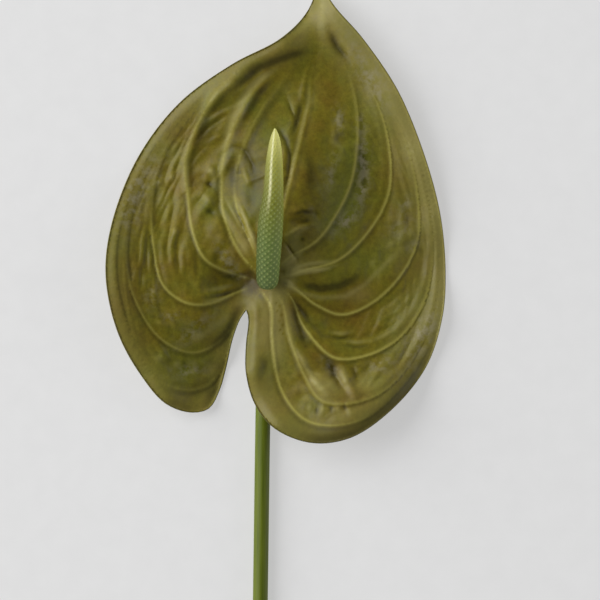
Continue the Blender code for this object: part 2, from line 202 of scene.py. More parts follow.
# %% Guide lines
NODE = (0, 0)
SINUS = (-8, -10.5)                 # the bottom of the notch between the lobes
TIP = (20, 115)
FORK = (-2, -3.5)                   # on the line from the node to the notch, where the last veins part
MIDRIB = [NODE, (4, 18), (8.5, 37), (13.5, 58), (16, 70.5), (17, 80.5), (21, 92.5), (21, 104), TIP]
GUIDES = {
    "left": [
        MIDRIB,
        [NODE, (-5.5, 13.5), (-11, 27), (-12.5, 37), (-9.5, 50.5), (-2, 66), (9, 81), (17.5, 93.5),
         (20.5, 104), TIP],
        [NODE, (-10.5, 11.5), (-16.5, 25.5), (-17.5, 37), (-16, 50.5), (-11, 63.5), (-2, 77.5), (10.5, 89),
         (18, 99.5), TIP],
        [NODE, (-12, 3), (-23.5, 8.5), (-28.5, 19), (-30.5, 33.5), (-31, 48.5), (-25, 64), (-13.5, 79),
         (3, 89.5), (15.5, 100.5), TIP],
        [NODE, (-10.5, -3.5), (-23.5, -8.5), (-32, -7.5), (-40, -1), (-43.5, 12.5), (-44.5, 29.5),
         (-40, 48.5), (-27.5, 66.5), (-10.5, 82.5), (7, 92), (15.5, 102.5), TIP],
        [NODE, (-8, -8), (-17, -21.5), (-28.5, -27), (-41, -21.5), (-50.5, -7), (-54, 7.5), (-52, 27.5),
         (-44, 47.5), (-29.5, 67.5), (-12, 82.5), (6, 92.5), (15.5, 103.5), TIP],
        [FORK, (-10.5, -13), (-15, -26), (-20.5, -38), (-29.5, -41.5), (-43, -37), (-53, -18.5), (-58, 1),
         (-57.5, 18), (-50.5, 40), (-39, 59.5), (-23.5, 75), (-8.5, 84.5), (6, 93), (15.5, 104), TIP],
        [SINUS, (-10.5, -14), (-13.5, -22), (-16, -33), (-18.5, -41.5), (-22.5, -48.5), (-29.5, -50),
         (-39, -46.5), (-48.5, -35.5), (-56.5, -21), (-61, -4), (-61.5, 10.5), (-57.5, 29.5), (-48.5, 50),
         (-33.5, 69), (-13.5, 83.5), (5.5, 93.5), (15.5, 104), TIP],
    ],
    "right": [
        MIDRIB,
        [NODE, (8, 9), (19, 16), (27, 27), (32, 38), (34.5, 52.5), (34.5, 66), (31.5, 79.5), (26, 89.5),
         (22, 101), TIP],
        [NODE, (12.5, 4), (28, 9), (40, 21), (46.5, 33.5), (47.5, 46.5), (44, 64.5), (37, 79), (28.5, 91),
         (23, 102.5), TIP],
        [NODE, (9, -1.5), (18.5, -8.5), (28.5, -12.5), (39.5, -8.5), (50, 1), (57.5, 15), (58, 31.5),
         (53, 54.5), (42.5, 75), (32, 90.5), (24, 103.5), TIP],
        [NODE, (8.5, -5), (14, -17), (25.5, -29), (37.5, -28.5), (50, -22), (60, -8), (63.5, 10.5),
         (61.5, 31.5), (55, 54.5), (44.5, 76), (33, 92), (24.5, 104.5), TIP],
        [NODE, (5.5, -7), (8.5, -20.5), (14.5, -36), (21, -45.5), (32, -46.5), (45, -41.5), (58, -26),
         (64, -9), (65.5, 10.5), (63, 31.5), (56.5, 54.5), (46.5, 76), (34, 92.5), (25.5, 105), TIP],
        [FORK, (1.5, -9), (2, -22), (5.5, -41.5), (14, -52.5), (24, -55), (37.5, -52), (51, -40.5),
         (62, -24), (66.5, -7), (67, 10.5), (64.5, 29.5), (58.5, 51.5), (48.5, 74.5), (35, 93),
         (25.5, 105.5), TIP],
        [SINUS, (-7, -14), (-8, -24), (-8, -35), (-4.5, -47), (3, -56), (17, -61.5), (32, -59.5),
         (48, -48.5), (61, -32.5), (67, -14.5), (68.5, 2.5), (66.5, 25.5), (60, 49.5), (50, 73.5),
         (36.5, 93.5), (26, 105.5), TIP],
    ],
}


def smooth_step(low, high, value):
    """0 below low, 1 above high, with a smooth rise between."""
    t = np.clip((value - low) / (high - low), 0, 1)
    return t * t * (3 - 2 * t)


def run_along(points):
    """Length from the first point to each."""
    return np.r_[0, np.cumsum(np.linalg.norm(np.diff(points, axis=0), axis=1))]


def even_steps(points, count):
    """The line cut into steps of equal length, and its length."""
    run = run_along(points)
    even = np.linspace(0, run[-1], count)
    return np.column_stack([np.interp(even, run, axis) for axis in points.T]), run[-1]


def curve_through(points, count):
    """Centripetal Catmull-Rom curve through the points, in steps of equal length, and its length."""
    p = np.array(points, float)
    knots = np.r_[0, np.cumsum(np.linalg.norm(np.diff(p, axis=0), axis=1) ** 0.5)]
    p = np.vstack([2 * p[0] - p[1], p, 2 * p[-1] - p[-2]])
    t = np.r_[-knots[1], knots, 2 * knots[-1] - knots[-2]]
    x = np.linspace(0, knots[-1], 12 * count)
    i = np.clip(np.searchsorted(knots, x, side="right") - 1, 0, len(knots) - 2)
    x = x[:, None]
    t0, t1, t2, t3 = (t[i + k][:, None] for k in range(4))
    p0, p1, p2, p3 = (p[i + k] for k in range(4))
    a1 = ((t1 - x) * p0 + (x - t0) * p1) / (t1 - t0)
    a2 = ((t2 - x) * p1 + (x - t1) * p2) / (t2 - t1)
    a3 = ((t3 - x) * p2 + (x - t2) * p3) / (t3 - t2)
    b1 = ((t2 - x) * a1 + (x - t0) * a2) / (t2 - t0)
    b2 = ((t3 - x) * a2 + (x - t1) * a3) / (t3 - t1)
    return even_steps(((t2 - x) * b1 + (x - t1) * b2) / (t2 - t1), count)


GUIDE_CORNERS = 121
CURVES = {side: [curve_through(points, GUIDE_CORNERS) for points in guides] for side, guides in GUIDES.items()}
OUTLINE = np.vstack([CURVES["left"][-1][0], CURVES["right"][-1][0][-2::-1]])
print("margin length, mm:", [round(CURVES[side][-1][1]) for side in CURVES])


# %% Places on the blade
def blade_plan(side, column, share):
    """Plan position, share f across the sector, sector number, its width and the run along it."""
    sector = np.clip(np.floor(column).astype(int), 0, 6)
    f = column - sector
    lines = np.array([curve for curve, _ in CURVES[side]])
    lengths = np.array([length for _, length in CURVES[side]])
    along = share * (lines.shape[1] - 1)
    step = np.clip(np.floor(along).astype(int), 0, lines.shape[1] - 2)
    rest = (along - step)[..., None]
    inner = lines[sector, step] * (1 - rest) + lines[sector, step + 1] * rest
    outer = lines[sector + 1, step] * (1 - rest) + lines[sector + 1, step + 1] * rest
    plan = inner * (1 - f[..., None]) + outer * f[..., None]
    run = share * (lengths[sector] * (1 - f) + lengths[sector + 1] * f)
    return plan[..., 0], plan[..., 1], f, sector, np.linalg.norm(outer - inner, axis=-1), run


def margin_distance(x, y):
    """Distance in plan to the nearest point of the outline."""
    start, span = OUTLINE[:-1], np.diff(OUTLINE, axis=0)
    nearest = []
    for block in np.array_split(np.column_stack([x, y]), len(x) // 3000 + 1):
        t = np.clip(((block[:, None] - start) * span).sum(-1) / (span ** 2).sum(-1), 0, 1)
        nearest.append(np.linalg.norm(block[:, None] - start - t[..., None] * span, axis=-1).min(-1))
    return np.concatenate(nearest)


# %% [markdown]
# ## The height of the blade
#
# The form has three layers. The first is the plate: a shallow wing on each side of the midrib, with the
# rim turned up and a fold under the node. It is a thin-plate spline, the shape that a bent sheet takes
# through the heights given. On it each sector between two veins sags, and puckers lie across the sectors.
# The heights were judged from the light and shade in the photo.

# %% Heights of the plate
# x, y, z in millimetres from the node, z above the table.
HEIGHTS = [
    # rim, from the notch round the left lobe, over the tip and round the right lobe
    (-8, -10.5, 8.4), (-10.5, -14, 7.2), (-13.5, -22, 5), (-16, -33, 1.9), (-18.5, -41.5, 1.8),
    (-22.5, -48.5, 4.2), (-29.5, -50, 5), (-39, -46.5, 8.9), (-48.5, -35.5, 8.6), (-56.5, -21, 11.9),
    (-61, -4, 15.7), (-61.5, 10.5, 15.1), (-57.5, 29.5, 7.6), (-48.5, 50, 1.4), (-33.5, 69, 4),
    (-13.5, 83.5, 7.6), (5.5, 93.5, 11), (15.5, 104, 3.7), (20, 115, 5.5), (26, 105.5, 10.3),
    (36.5, 93.5, 11), (50, 73.5, 10.9), (60, 49.5, 8.5), (66.5, 25.5, 5.4), (68.5, 7, 2.1),
    (67, -14.5, 6.1), (61, -32.5, 4.8), (48, -48.5, 13), (32, -59.5, 15.7), (17, -61.5, 14.4), (3, -56, 15.2),
    (-4.5, -47, 9.7), (-8, -35, 10.5), (-8, -24, 9), (-7, -14, 8.5),
    # node, fold and midrib
    (0, 0, 9.9), (5, -8, 10.1), (5.5, -20, 9.7), (4, -35, 9), (6, -48, 10.6), (4, 18, 14.2), (8.5, 37, 13.3),
    (13.5, 58, 9.3), (16.5, 78, 5.1), (20, 92, 6.7),
    # left wing and lobe
    (-45, 10, 10.8), (-45, 30, 2.8), (-30, 10, 10.6), (-30, 35, 3.8), (-20, 20, 8.9), (-20, 42, 3.3),
    (-12, 30, 7.7), (-6, 15, 11.5), (-28, 55, 2.9), (-20, 68, 6.5), (-9, 79, 8.6), (-18, 56, 4.8),
    (-8, 66, 8.2), (3, 78, 5.3), (12, 88, 8.4), (-38, 56, 2), (-25, -8, 11.7), (-40, -10, 11.9),
    (-51, -12, 13.2), (-30, -25, 6.1), (-42, -30, 7.6), (-22, -30, 2.5), (-28, -42, 3), (-10, -3, 4.6),
    (-15, -12, 7.5),
    # right wing and lobe
    (14, 25, 12.9), (22, 25, 9.7), (30, 25, 6.7), (40, 25, 2.9), (50, 25, 2), (58, 28, 2.4), (24, 50, 7.9),
    (33, 52, 6.6), (43, 55, 3.9), (52, 52, 5.1), (27, 72, 4.5), (37, 72, 5.4), (10, 4, 11.7), (18, 5, 10.1),
    (28, 5, 7.7), (38, 3, 4.9), (48, 2, 3.8), (58, 4, 0.6), (15, -12, 7.9), (25, -15, 5.5), (35, -18, 4.3),
    (45, -20, 4.2), (56, -20, 4.8), (15, -32, 11.6), (25, -35, 11), (36, -38, 11.3), (46, -36, 10.3),
    (15, -50, 11.9), (27, -52, 15.2),
]

# %% [markdown]
# ## Puckers and folds
#
# The skin grew faster than its veins, so it crumples between them. The large puckers are long bumps and
# hollows. The folds are thin lines that were traced one by one, each with its height and with how strong a
# painted highlight lies on its crest, or painted shade in its trough. Tracing them is slower than noise, but
# noise alone never puts a fold where the eye looks for it.

# %% Puckers
# x, y, direction in degrees, half length, half width, height.
PUCKERS = [
    (-6, 24.5, 65, 10, 1.6, 0.2), (-36.5, 40, 10, 3.5, 2, 0.4), (-42, 37, 40, 3.5, 2, 0.3),
    (-22, 42.5, 0, 3, 2, 0.7), (-23.5, 29.5, 60, 3.5, 2, 0.6), (-35, 18, 70, 4, 2, 0.7),
    (-46.5, 25.5, 60, 4, 2, 0.2), (-16, 45, 60, 6, 2, 0.8), (-23.5, 62, 20, 4.5, 2.3, 0.35),
    (-20, 71.5, 60, 5.5, 2.3, 0.8), (-4.5, 80.5, 50, 4, 2.3, -0.7), (8, 69.5, -60, 4, 1.6, -0.3),
    (30, 54.5, 10, 4.5, 1.6, -0.4), (36.5, 46.5, 80, 5.5, 1.6, 0.1), (51, 24.5, 10, 4.5, 2, 0.2),
    (54, 17, 30, 4.5, 2, 0.4), (40, 6.5, 60, 4, 2, -0.2), (12.5, 23, 0, 4, 2.3, -0.8),
    (11, 15.5, 30, 4, 1.6, -0.2), (14, 27, 20, 4.5, 1.6, 0.6), (46.5, -16.5, 30, 8, 1.8, 0.3),
    (27, -20, 0, 8, 1.5, 0.2), (21, -39.5, -50, 6, 1.6, 0.5), (27, -37.5, -60, 4.5, 1.6, -1),
    (32.5, -40.5, -65, 4, 1.6, 0.7), (16.5, -34.5, -45, 4.5, 1.6, -1), (14.5, -49, 70, 3, 1.6, 0.2),
    (21, -50, 80, 3, 1.6, 0.2), (28, -49, 80, 3, 1.6, -0.2), (-22, -17.5, 32, 9, 1.8, 0.2),
    (-16.5, -1.5, 25, 8.5, 1.3, 0.2), (-41, -30, 60, 4, 2, 0.2),
]


def swell(x, y, place):
    """A long bump, or hollow, with soft sides."""
    cx, cy, angle, half_length, half_width, height = place
    ca, sa = math.cos(math.radians(angle)), math.sin(math.radians(angle))
    u = (x - cx) * ca + (y - cy) * sa
    v = (y - cy) * ca - (x - cx) * sa
    return height * np.exp(-(u / half_length) ** 2 - (v / half_width) ** 2)


# %% Folds
# The line that each follows in plan, its height, half width, and its painted light: a painted highlight on it
# above 0, painted shade below 0.
FOLDS = [
    # upper left
    ([(-13, 73), (-10.5, 76), (-6.5, 79.5), (-2.5, 82.5), (2, 84.5), (9, 87), (16.5, 89)], -0.2, 1.6, -0.6),
    ([(3, 82), (-2, 78.5), (-6.5, 74.5), (-10, 69.5), (-13, 64.5), (-15, 59), (-16.5, 52.5)],
     -0.25, 1.6, 0.6),
    ([(0.5, 77.5), (-4, 72), (-7.5, 66), (-10.5, 60.5)], 0.2, 1.4, -0.35),
    ([(-23.5, 65), (-20.5, 69.5), (-15.5, 74.5), (-10.5, 79.5)], 1, 1.8, 0.35),
    ([(-27, 53.5), (-25.5, 58), (-23, 62)], 0.1, 1.6, -0.4),
    # arch and ridges left of the spadix
    ([(-14.5, 50.5), (-12.5, 52), (-10, 51.5), (-7.5, 49.5), (-5.5, 45.5), (-4.5, 40.5)], -0.4, 1.1, -0.3),
    ([(-9.5, 47.5), (-9, 43), (-7.5, 38.5), (-5.5, 34.5)], 0.3, 1, 0.4),
    ([(-13.5, 47.5), (-13, 41), (-12, 34.5)], 0.05, 1.4, -0.3),
    ([(-11.2, 31.5), (-9.5, 27), (-7.2, 21), (-5, 15.5), (-3.8, 12)], 0.55, 0.9, 0.75),
    ([(-17, 33), (-14.5, 28.5), (-11, 22.5), (-7.5, 17), (-4, 12.5)], -0.2, 0.9, 0.5),
    ([(-12.5, 28.5), (-9.2, 22), (-7.2, 17), (-5, 12)], -0.35, 0.7, -0.6),
    ([(-19, 29), (-15.5, 23), (-11.5, 16), (-6.5, 10)], -0.3, 1.3, 0.25),
    ([(-24, 38.5), (-22, 37.5), (-20.5, 36)], -0.55, 1.3, -0.65),
    ([(-22, 44.5), (-21, 42), (-20, 40)], 0.45, 1.2, 0.65),
    ([(-25, 34), (-23, 32.5), (-21, 30.5)], 0.5, 1.3, 0.3),
    ([(-23.5, 28.5), (-22, 27), (-19.5, 25.5)], -0.35, 1.2, -0.4),
    ([(3.5, 60), (7.2, 54.5), (8.8, 48.5), (8.3, 42), (7.4, 37)], -0.35, 1, -0.55),
    # left wing
    ([(-31.5, 32), (-31.5, 47), (-28.5, 55), (-24.5, 62)], 0.4, 1.6, 0.4),
    ([(-36, 21.5), (-35, 18)], 0.3, 1, 0.4), ([(-42.5, 40), (-40, 37)], 0.4, 1.2, 0.2),
    ([(-46.5, 29), (-46.5, 23)], -0.05, 1, 0.2), ([(-37, 42), (-36, 38.5)], 0.25, 1, 0.35),
    ([(-45.5, 3), (-44, -1)], -0.05, 1, 0.15), ([(-44, -15.5), (-40, -15.5), (-35.5, -17)], 0.25, 0.9, 0.2),
    # left lobe
    ([(-24.5, -3.5), (-18, -2.5), (-10.5, 0)], 0, 1, 0.55),
    ([(-25.5, -5.5), (-18, -4.5), (-10.5, -2)], 0.3, 0.9, -0.1),
    ([(-31, -24), (-25.5, -20.5), (-20.5, -17), (-12.5, -11.5)], 0, 1.4, 0.35),
    ([(-23.5, -27), (-19, -22), (-15, -17.5)], 0.05, 1.4, -0.45), ([(-43, -28), (-40, -30.5)], 0.1, 1.3, 0.3),
    ([(-36, -33), (-33.5, -30.5)], 0.1, 1.3, 0.45), ([(-28.5, -29), (-28, -32), (-28.5, -36)], 0, 1.1, 0.4),
    ([(-32, -29), (-31.5, -33.5)], 0, 1.1, -0.3),
    # tip
    ([(24, 97.5), (27, 90.5), (32, 85)], -0.65, 1.5, -0.55), ([(29, 92.5), (36.5, 82)], 0.3, 1.5, 0.3),
    # midrib
    ([(16, 75), (16, 69.5), (14.5, 64), (12.5, 56.5), (11, 50.5), (9.5, 44), (8, 35)], -0.15, 0.9, 0.45),
    ([(12.5, 71), (12.5, 66), (11, 60), (9, 54.5)], -0.4, 1.3, -0.5),
    ([(7.5, 70.5), (9, 66.5), (11.5, 60.5)], -0.3, 0.6, -0.3),
    ([(15, 50.5), (16.5, 43), (16, 33.5)], 0.1, 2, -0.45),
    # right wing
    ([(23, 54.5), (26.5, 53), (28.5, 51.5), (29.5, 48)], 0.25, 0.9, 0.25),
    ([(26, 55.5), (30.5, 58)], -0.1, 1, -0.35), ([(27, 65), (28.5, 60.5)], 0.25, 1.2, 0.25),
    ([(25.5, 59.5), (25.5, 52)], 0.25, 1, 0.3), ([(36.5, 52), (37.5, 43.5), (37, 33.5)], -0.5, 1.7, -0.45),
    ([(24, 50), (23.5, 44.5)], -0.1, 1, 0.1), ([(22.5, 40.5), (24.5, 35)], 0.1, 1.4, 0.3),
    ([(49.5, 24.5), (53, 21.5), (55, 17)], 0.1, 1.2, 0.15), ([(51, 27), (55, 25.5)], -0.1, 1, -0.15),
    ([(39.5, 5.5), (41, 9)], 0.1, 1.1, 0.25), ([(45, 12.5), (49.5, 16)], 0.15, 1, 0.3),
    ([(60, 19), (62.5, 14)], -0.15, 0.9, 0), ([(57, 16), (59.5, 10.5)], 0.15, 0.9, -0.25),
    # wrinkles by the spadix's foot
    ([(9, 25.5), (13.5, 27), (18.5, 26.5)], -0.3, 0.8, -0.7),
    ([(8, 17.5), (12, 20), (16.5, 21.5)], 0.75, 1, 0.3),
    ([(6.5, 16), (9, 12.5), (11.5, 8.5)], -0.7, 0.8, -0.5), ([(12, 23), (17, 24)], 0.15, 0.8, -0.5),
    # right lobe
    ([(8, 0), (12.5, -4), (20.5, -6), (30, -5.5), (37.5, -1), (45, 6.5), (51, 12.5)], 0.05, 1, 0.35),
    ([(12.5, -0.5), (20.5, -2.5), (28, -1.5), (35.5, 2.5)], -0.15, 1.5, -0.7),
    ([(16.5, -15.5), (21, -19.5), (28, -22), (36.5, -21.5), (45, -18.5), (52.5, -14), (58.5, -5.5)],
     -0.15, 1.1, -0.05),
    ([(41.5, -11.5), (48, -7.5), (55, -1)], -0.25, 1, 0.05),
    ([(43.5, -15.5), (50, -11.5), (57, -4)], 0.25, 0.9, -0.15),
    ([(9.5, -7), (11, -14), (13.5, -21.5), (16, -27)], -0.35, 1.5, -0.5),
    ([(12.5, -27), (15.5, -33.5), (19, -39), (23, -43.5)], 0.25, 1.1, 0.65),
    ([(22.5, -29), (25, -33.5), (27, -39)], -0.45, 1.5, -0.75),
    ([(28, -30.5), (30, -37), (32, -43)], 0.3, 1.1, 0.5), ([(32.5, -32), (34.5, -37.5)], -0.4, 1.2, -0.45),
    ([(41.5, -32), (48, -30)], 0.05, 1.3, 0.15), ([(16.8, -46.5), (16, -50)], 0.15, 0.8, 0.5),
    ([(19.3, -47.5), (19, -51.5)], -0.15, 0.8, -0.5), ([(21.5, -46.5), (21.2, -50.5)], 0.15, 0.8, 0.5),
    ([(24.5, -47), (24.6, -51)], -0.15, 0.8, -0.5), ([(27, -46.5), (27.4, -50.5)], 0.15, 0.8, 0.45),
    ([(29.4, -46), (30, -50)], -0.15, 0.8, -0.45), ([(31, -48), (32, -51.5)], 0.15, 0.8, 0.4),
    ([(23.7, -19.5), (29, -20), (32.5, -19.2)], 0.25, 0.7, 0.45),
    ([(24, -21.2), (29, -21.6), (33, -20.8)], -0.2, 0.8, -0.35),
    ([(29, -22.6), (34.5, -23.4), (39.5, -22.6)], 0.25, 0.7, 0.45),
    ([(29.5, -24.3), (35, -25), (40, -24.3)], -0.2, 0.8, -0.35),
    ([(39.8, -23), (45, -20.7), (50, -17.6)], 0.25, 0.7, 0.4),
    ([(-1, -27), (-0.5, -32), (-2, -37)], -0.5, 2, -0.35),
    ([(-4, -7), (-5, -14.5), (-5.5, -24)], 0.4, 1.6, 0.05),
    ([(2, -3), (2, -14.5), (2.5, -26), (4, -37.5)], 0.2, 0.7, 0.1),
    ([(7.5, -7), (8.5, -18.5), (10.5, -28.5)], 0.1, 1.3, 0.25),
    # left of the node
    ([(-4, 4.5), (-10.5, 2.5), (-16.5, 2)], -0.3, 1.1, -0.6),
    ([(-7.5, -1), (-12.5, -4), (-21, -6)], -0.2, 0.9, -0.5),
    ([(-24.5, -8), (-16, -6), (-8, -2)], 0.25, 0.8, 0.4),
    ([(-3.5, -0.5), (-5.5, 1.5), (-6.5, 4.5)], -0.5, 1.6, -0.9),
    ([(-9, -7), (-12, -11.5), (-15, -18.5), (-18, -24.5)], -0.2, 1.6, -0.4),
    # right of the node
    ([(6.5, 4.5), (16.5, 7), (26, 8)], 0.2, 0.7, 0.55), ([(7.5, 2.5), (18.5, 4), (30, 7.5)], 0.2, 0.7, 0.55),
    ([(5, 5.5), (9, 8.5), (14, 11.5)], 0.25, 0.8, 0.6),
    ([(5, 3.2), (10, 4.2), (16, 4.6), (24, 5)], 0.2, 0.7, 0.8),
    ([(5.5, 1), (8, -0.5), (10.5, -2.5)], 0.4, 0.9, 0.9),
    ([(9, -4.5), (13, -10.5), (17.5, -17)], -0.4, 1.4, -0.5), ([(6, 5.5), (6.5, 2.5)], -0.4, 1.4, -0.7),
]


LONGEST_TAPER = 6                    # over which a fold fades in and out


def fold_shape(x, y, line, half_width):
    """1 on the line, falling to 0 beside it, and fading in and out at its ends."""
    line = np.array(line, float)
    run = run_along(line)
    nearest, place = np.full(len(x), np.inf), np.zeros(len(x))
    for (x0, y0), (x1, y1), run0, run1 in zip(line[:-1], line[1:], run[:-1], run[1:]):
        t = np.clip(((x - x0) * (x1 - x0) + (y - y0) * (y1 - y0)) / (run1 - run0) ** 2, 0, 1)
        gap = np.hypot(x - x0 - t * (x1 - x0), y - y0 - t * (y1 - y0))
        closer = gap < nearest
        nearest = np.where(closer, gap, nearest)
        place = np.where(closer, run0 + t * (run1 - run0), place)
    taper = min(run[-1] / 2.2, LONGEST_TAPER)
    ends = 0.25 + 0.75 * smooth_step(0, taper, place) * (1 - smooth_step(run[-1] - taper, run[-1], place))
    return ends * np.exp(-(nearest / half_width) ** 2)


# %% Bending the plate through the heights
LIP_WIDTH = 4.0                      # the outermost zone, where the margin rolls down
LIP_DROP = 0.9                       # how far it rolls down


def bending(x, y, places):
    """r squared times log r from every corner to every place: the bend of a thin plate at a point load."""
    r2 = (x[:, None] - places[:, 0]) ** 2 + (y[:, None] - places[:, 1]) ** 2
    return 0.5 * r2 * np.log(np.maximum(r2, 1e-9))


def plate_loads(places):
    """Loads and plane of the thin plate that passes through the places."""
    flat = np.column_stack([np.ones(len(places)), places[:, :2]])
    system = np.block([[bending(places[:, 0], places[:, 1], places), flat], [flat.T, np.zeros((3, 3))]])
    return np.linalg.solve(system, np.r_[places[:, 2], 0, 0, 0])


PLATE = np.array(HEIGHTS, float)
LOADS = plate_loads(PLATE)


def blade_form(x, y, d):
    """Height of the blade without its veins and puckers, at distance d from the edge."""
    z = bending(x, y, PLATE) @ LOADS[:-3] + LOADS[-3] + LOADS[-2] * x + LOADS[-1] * y
    return z - LIP_DROP * (1 - smooth_step(0, LIP_WIDTH, d))


# %% [markdown]
# ## Veins and panels
#
# Between two veins the blade sags like cloth between battens, more steeply beside one vein than beside the
# other. Each vein is a fine raised line with a shallow groove along it. These follow the columns of the
# blade, so one formula in the column, the share and the width of the sector makes all of them.

# %% Veins, panels and small puckers
# Sag of each panel in millimetres from the midrib outward, the ridge beside its vein, and its small puckers.
SAGS = {"left": (0, -0.6, -0.1, 0.3, -0.1, -0.1, 0.4), "right": (-0.6, 0.2, -0.4, 0.2, 0.6, 0.7, -0.3)}
RIDGES = {"left": (0.5, 0.45, 0, 0.15, 0.15, 0.35, 0.1), "right": (0.15, 0.25, 0.15, 0.45, 0.4, 0, 0)}
PUCKER_SIZES = {"left": (0.6, 0.9, 1.2, 1.1, 1.0, 1.2, 0.1), "right": (0.8, 1.0, 0.9, 0.9, 1.2, 1.2, 0.1)}
VEIN_HEIGHT = 0.16
VEIN_HALF_WIDTH = 0.5
VEIN_GROOVE = 1.5                    # how far beside its vein the groove is deepest
GROOVE_DEPTH = 0.2
PUCKER_LIFT = 1.4                    # traced puckers and folds are drawn higher than they are listed,
FOLD_LIFT = 1.7                      # because soft light flattens them


def by_sector(table, right, sector):
    """The table's value for each corner's side and sector."""
    return np.where(right, np.array(table["right"])[sector], np.array(table["left"])[sector])


def smooth_noise(*axes):
    """Blender's own gradient noise at these coordinates."""
    return np.array([noise.noise(p) for p in zip(*axes)])


def blade_relief(right, x, y, f, sector, width, run, share, d):
    """Raised veins, the panels that sag between them, and the puckers across the panels."""
    wide = smooth_step(4, 14, width)
    near = np.minimum(f, 1 - f) * width
    vein = VEIN_HEIGHT * np.exp(-(near / VEIN_HALF_WIDTH) ** 2) * wide
    # panels sag steeply just outside a vein on the lobes and the right, but just inside the next at the
    # upper left, where the outer veins and small puckers fade out early too
    lean = np.where(right, 0.0, smooth_step(0.2, 0.5, share))
    rise, fall = 1 + lean, 2 - lean
    deepest = rise / (rise + fall)
    shape = f ** rise * (1 - f) ** fall / (deepest ** rise * (1 - deepest) ** fall)
    panel = -by_sector(SAGS, right, sector) * np.minimum(width / 12, 1) * shape
    shoulder = 0.8 - 0.6 * smooth_step(0.3, 0.7, lean)
    panel = panel + by_sector(RIDGES, right, sector) * np.exp(-((f - shoulder) / 0.1) ** 2)
    beside = np.where(lean > 0.5, 1 - f, f) * width / VEIN_GROOVE
    panel = panel - GROOVE_DEPTH * beside * np.exp(1 - beside)
    across = f * width
    seed = 3.1 * sector + 40 * right
    bend = 3 * smooth_noise(run / 16, across / 16, seed + 9)
    outer = ~right & (sector >= 3)
    pucker = smooth_noise((run + bend) / 6.5, (across - bend) / np.where(outer, 5, 9), seed)
    pucker = 0.75 * pucker + 0.3 * smooth_noise((run + bend) / 2.9, (across + bend) / 4.2, seed + 20)
    pucker = pucker * by_sector(PUCKER_SIZES, right, sector) * smooth_step(3, 12, width)
    pucker = pucker * np.sin(math.pi * np.clip(f, 0, 1)) ** 0.8 * smooth_step(3, 14, d)
    pucker = pucker * smooth_step(8, 26, run) * (1 - smooth_step(0.45, 0.72, share))
    fade = 1 - smooth_step(np.where(right, 0.55, np.where(outer, 0.4, 0.8)),
                           np.where(right, 0.85, np.where(outer, 0.6, 1.0)), share)
    z = (vein * smooth_step(-1, 3, d) + panel * wide * (0.3 + 0.7 * smooth_step(0, 12, d))) * fade + pucker
    z = z * smooth_step(0, 5, run)
    for place in PUCKERS:
        z = z + PUCKER_LIFT * swell(x, y, place) * smooth_step(0, 6, d)
    for line, height, half_width, _ in FOLDS:
        z = z + FOLD_LIFT * height * fold_shape(x, y, line, half_width) * smooth_step(0, 4, d)
    return z


# %% [markdown]
# ## The blade's mesh
#
# A grid of even triangles carries fine relief best, but the veins want corners of their own. So corners
# are set along the margin and the veins first, the rest of the blade is filled with a triangular lattice
# that keeps clear of them, and a constrained Delaunay triangulation joins all of them inside the margin.

# %% Corners in plan
SPACING = 0.66                       # of the lattice
RIM_SPACING = 0.6
VEIN_SPACING = 0.5
CLEARANCE = 0.42                     # between the lattice, the veins and the rim
RIM_CLEARANCE = 0.4                  # between the veins and the rim


def line_corners(points, spacing):
    """Evenly spaced points on a curve."""
    return even_steps(points, int(run_along(points)[-1] / spacing) + 2)[0]


def search_tree(points):
    """Tree that finds the nearest of these points in plan."""
    tree = kdtree.KDTree(len(points))
    for i, p in enumerate(points):
        tree.insert((*p, 0), i)
    tree.balance()
    return tree


def clear_of(points, taken, gap):
    """The points that are at least gap from every taken one."""
    tree = search_tree(taken)
    return points[[tree.find((*p, 0))[2] >= gap for p in points]]


def thinned(points, gap):
    """Points in order, without any that is nearer than gap to one kept before it."""
    kept, cells = [], {}
    for x, y in points:
        i, j = int(x // gap), int(y // gap)
        near = [q for di in (-1, 0, 1) for dj in (-1, 0, 1) for q in cells.get((i + di, j + dj), ())]
        if all(math.dist(q, (x, y)) >= gap for q in near):
            kept.append((x, y))
            cells.setdefault((i, j), []).append((x, y))
    return np.array(kept)


rim = line_corners(OUTLINE, RIM_SPACING)[:-1]
veins = np.vstack([line_corners(CURVES[side][k][0], VEIN_SPACING) for side in CURVES for k in range(7)])
veins = clear_of(thinned(veins, CLEARANCE), rim, RIM_CLEARANCE)
low, high = OUTLINE.min(0), OUTLINE.max(0)
lattice = []
for i, y in enumerate(np.arange(low[1], high[1], SPACING * math.sqrt(3) / 2)):
    row = np.arange(low[0] + (i % 2) * SPACING / 2, high[0], SPACING)
    lattice.append(np.column_stack([row, np.full(len(row), y)]))
lattice = clear_of(np.vstack(lattice), np.vstack([rim, veins]), CLEARANCE)

# %% One mesh of them all
corners = np.vstack([rim, veins, lattice])
ring = [(i, (i + 1) % len(rim)) for i in range(len(rim))]
plan, _, faces, sources, _, _ = delaunay_2d_cdt([Vector(p) for p in corners], ring, [], 1, 1e-7)
used, faces = np.unique(np.array(faces), return_inverse=True)
plan = np.array([tuple(plan[i]) for i in used])
faces = faces.reshape(-1, 3)
place_in_plan = {sources[i][0]: k for k, i in enumerate(used) if sources[i]}
rim_ids = np.array([place_in_plan[i] for i in range(len(rim))])
print(len(plan), "corners and", len(faces), "triangles a face")

# %% [markdown]
# ## From plan to height
#
# The relief is written in columns and shares, but the corners are given in plan. So each corner's column
# and share are found backwards: the nearest of many samples first, then Newton's method for the rest.

# %% Column and share of every corner
COLUMN_STEPS = np.linspace(0, 7, 141)
SHARE_STEPS = np.linspace(0, 1, 401) ** 1.15  # closer together near the node
NEWTON_STEPS = 9


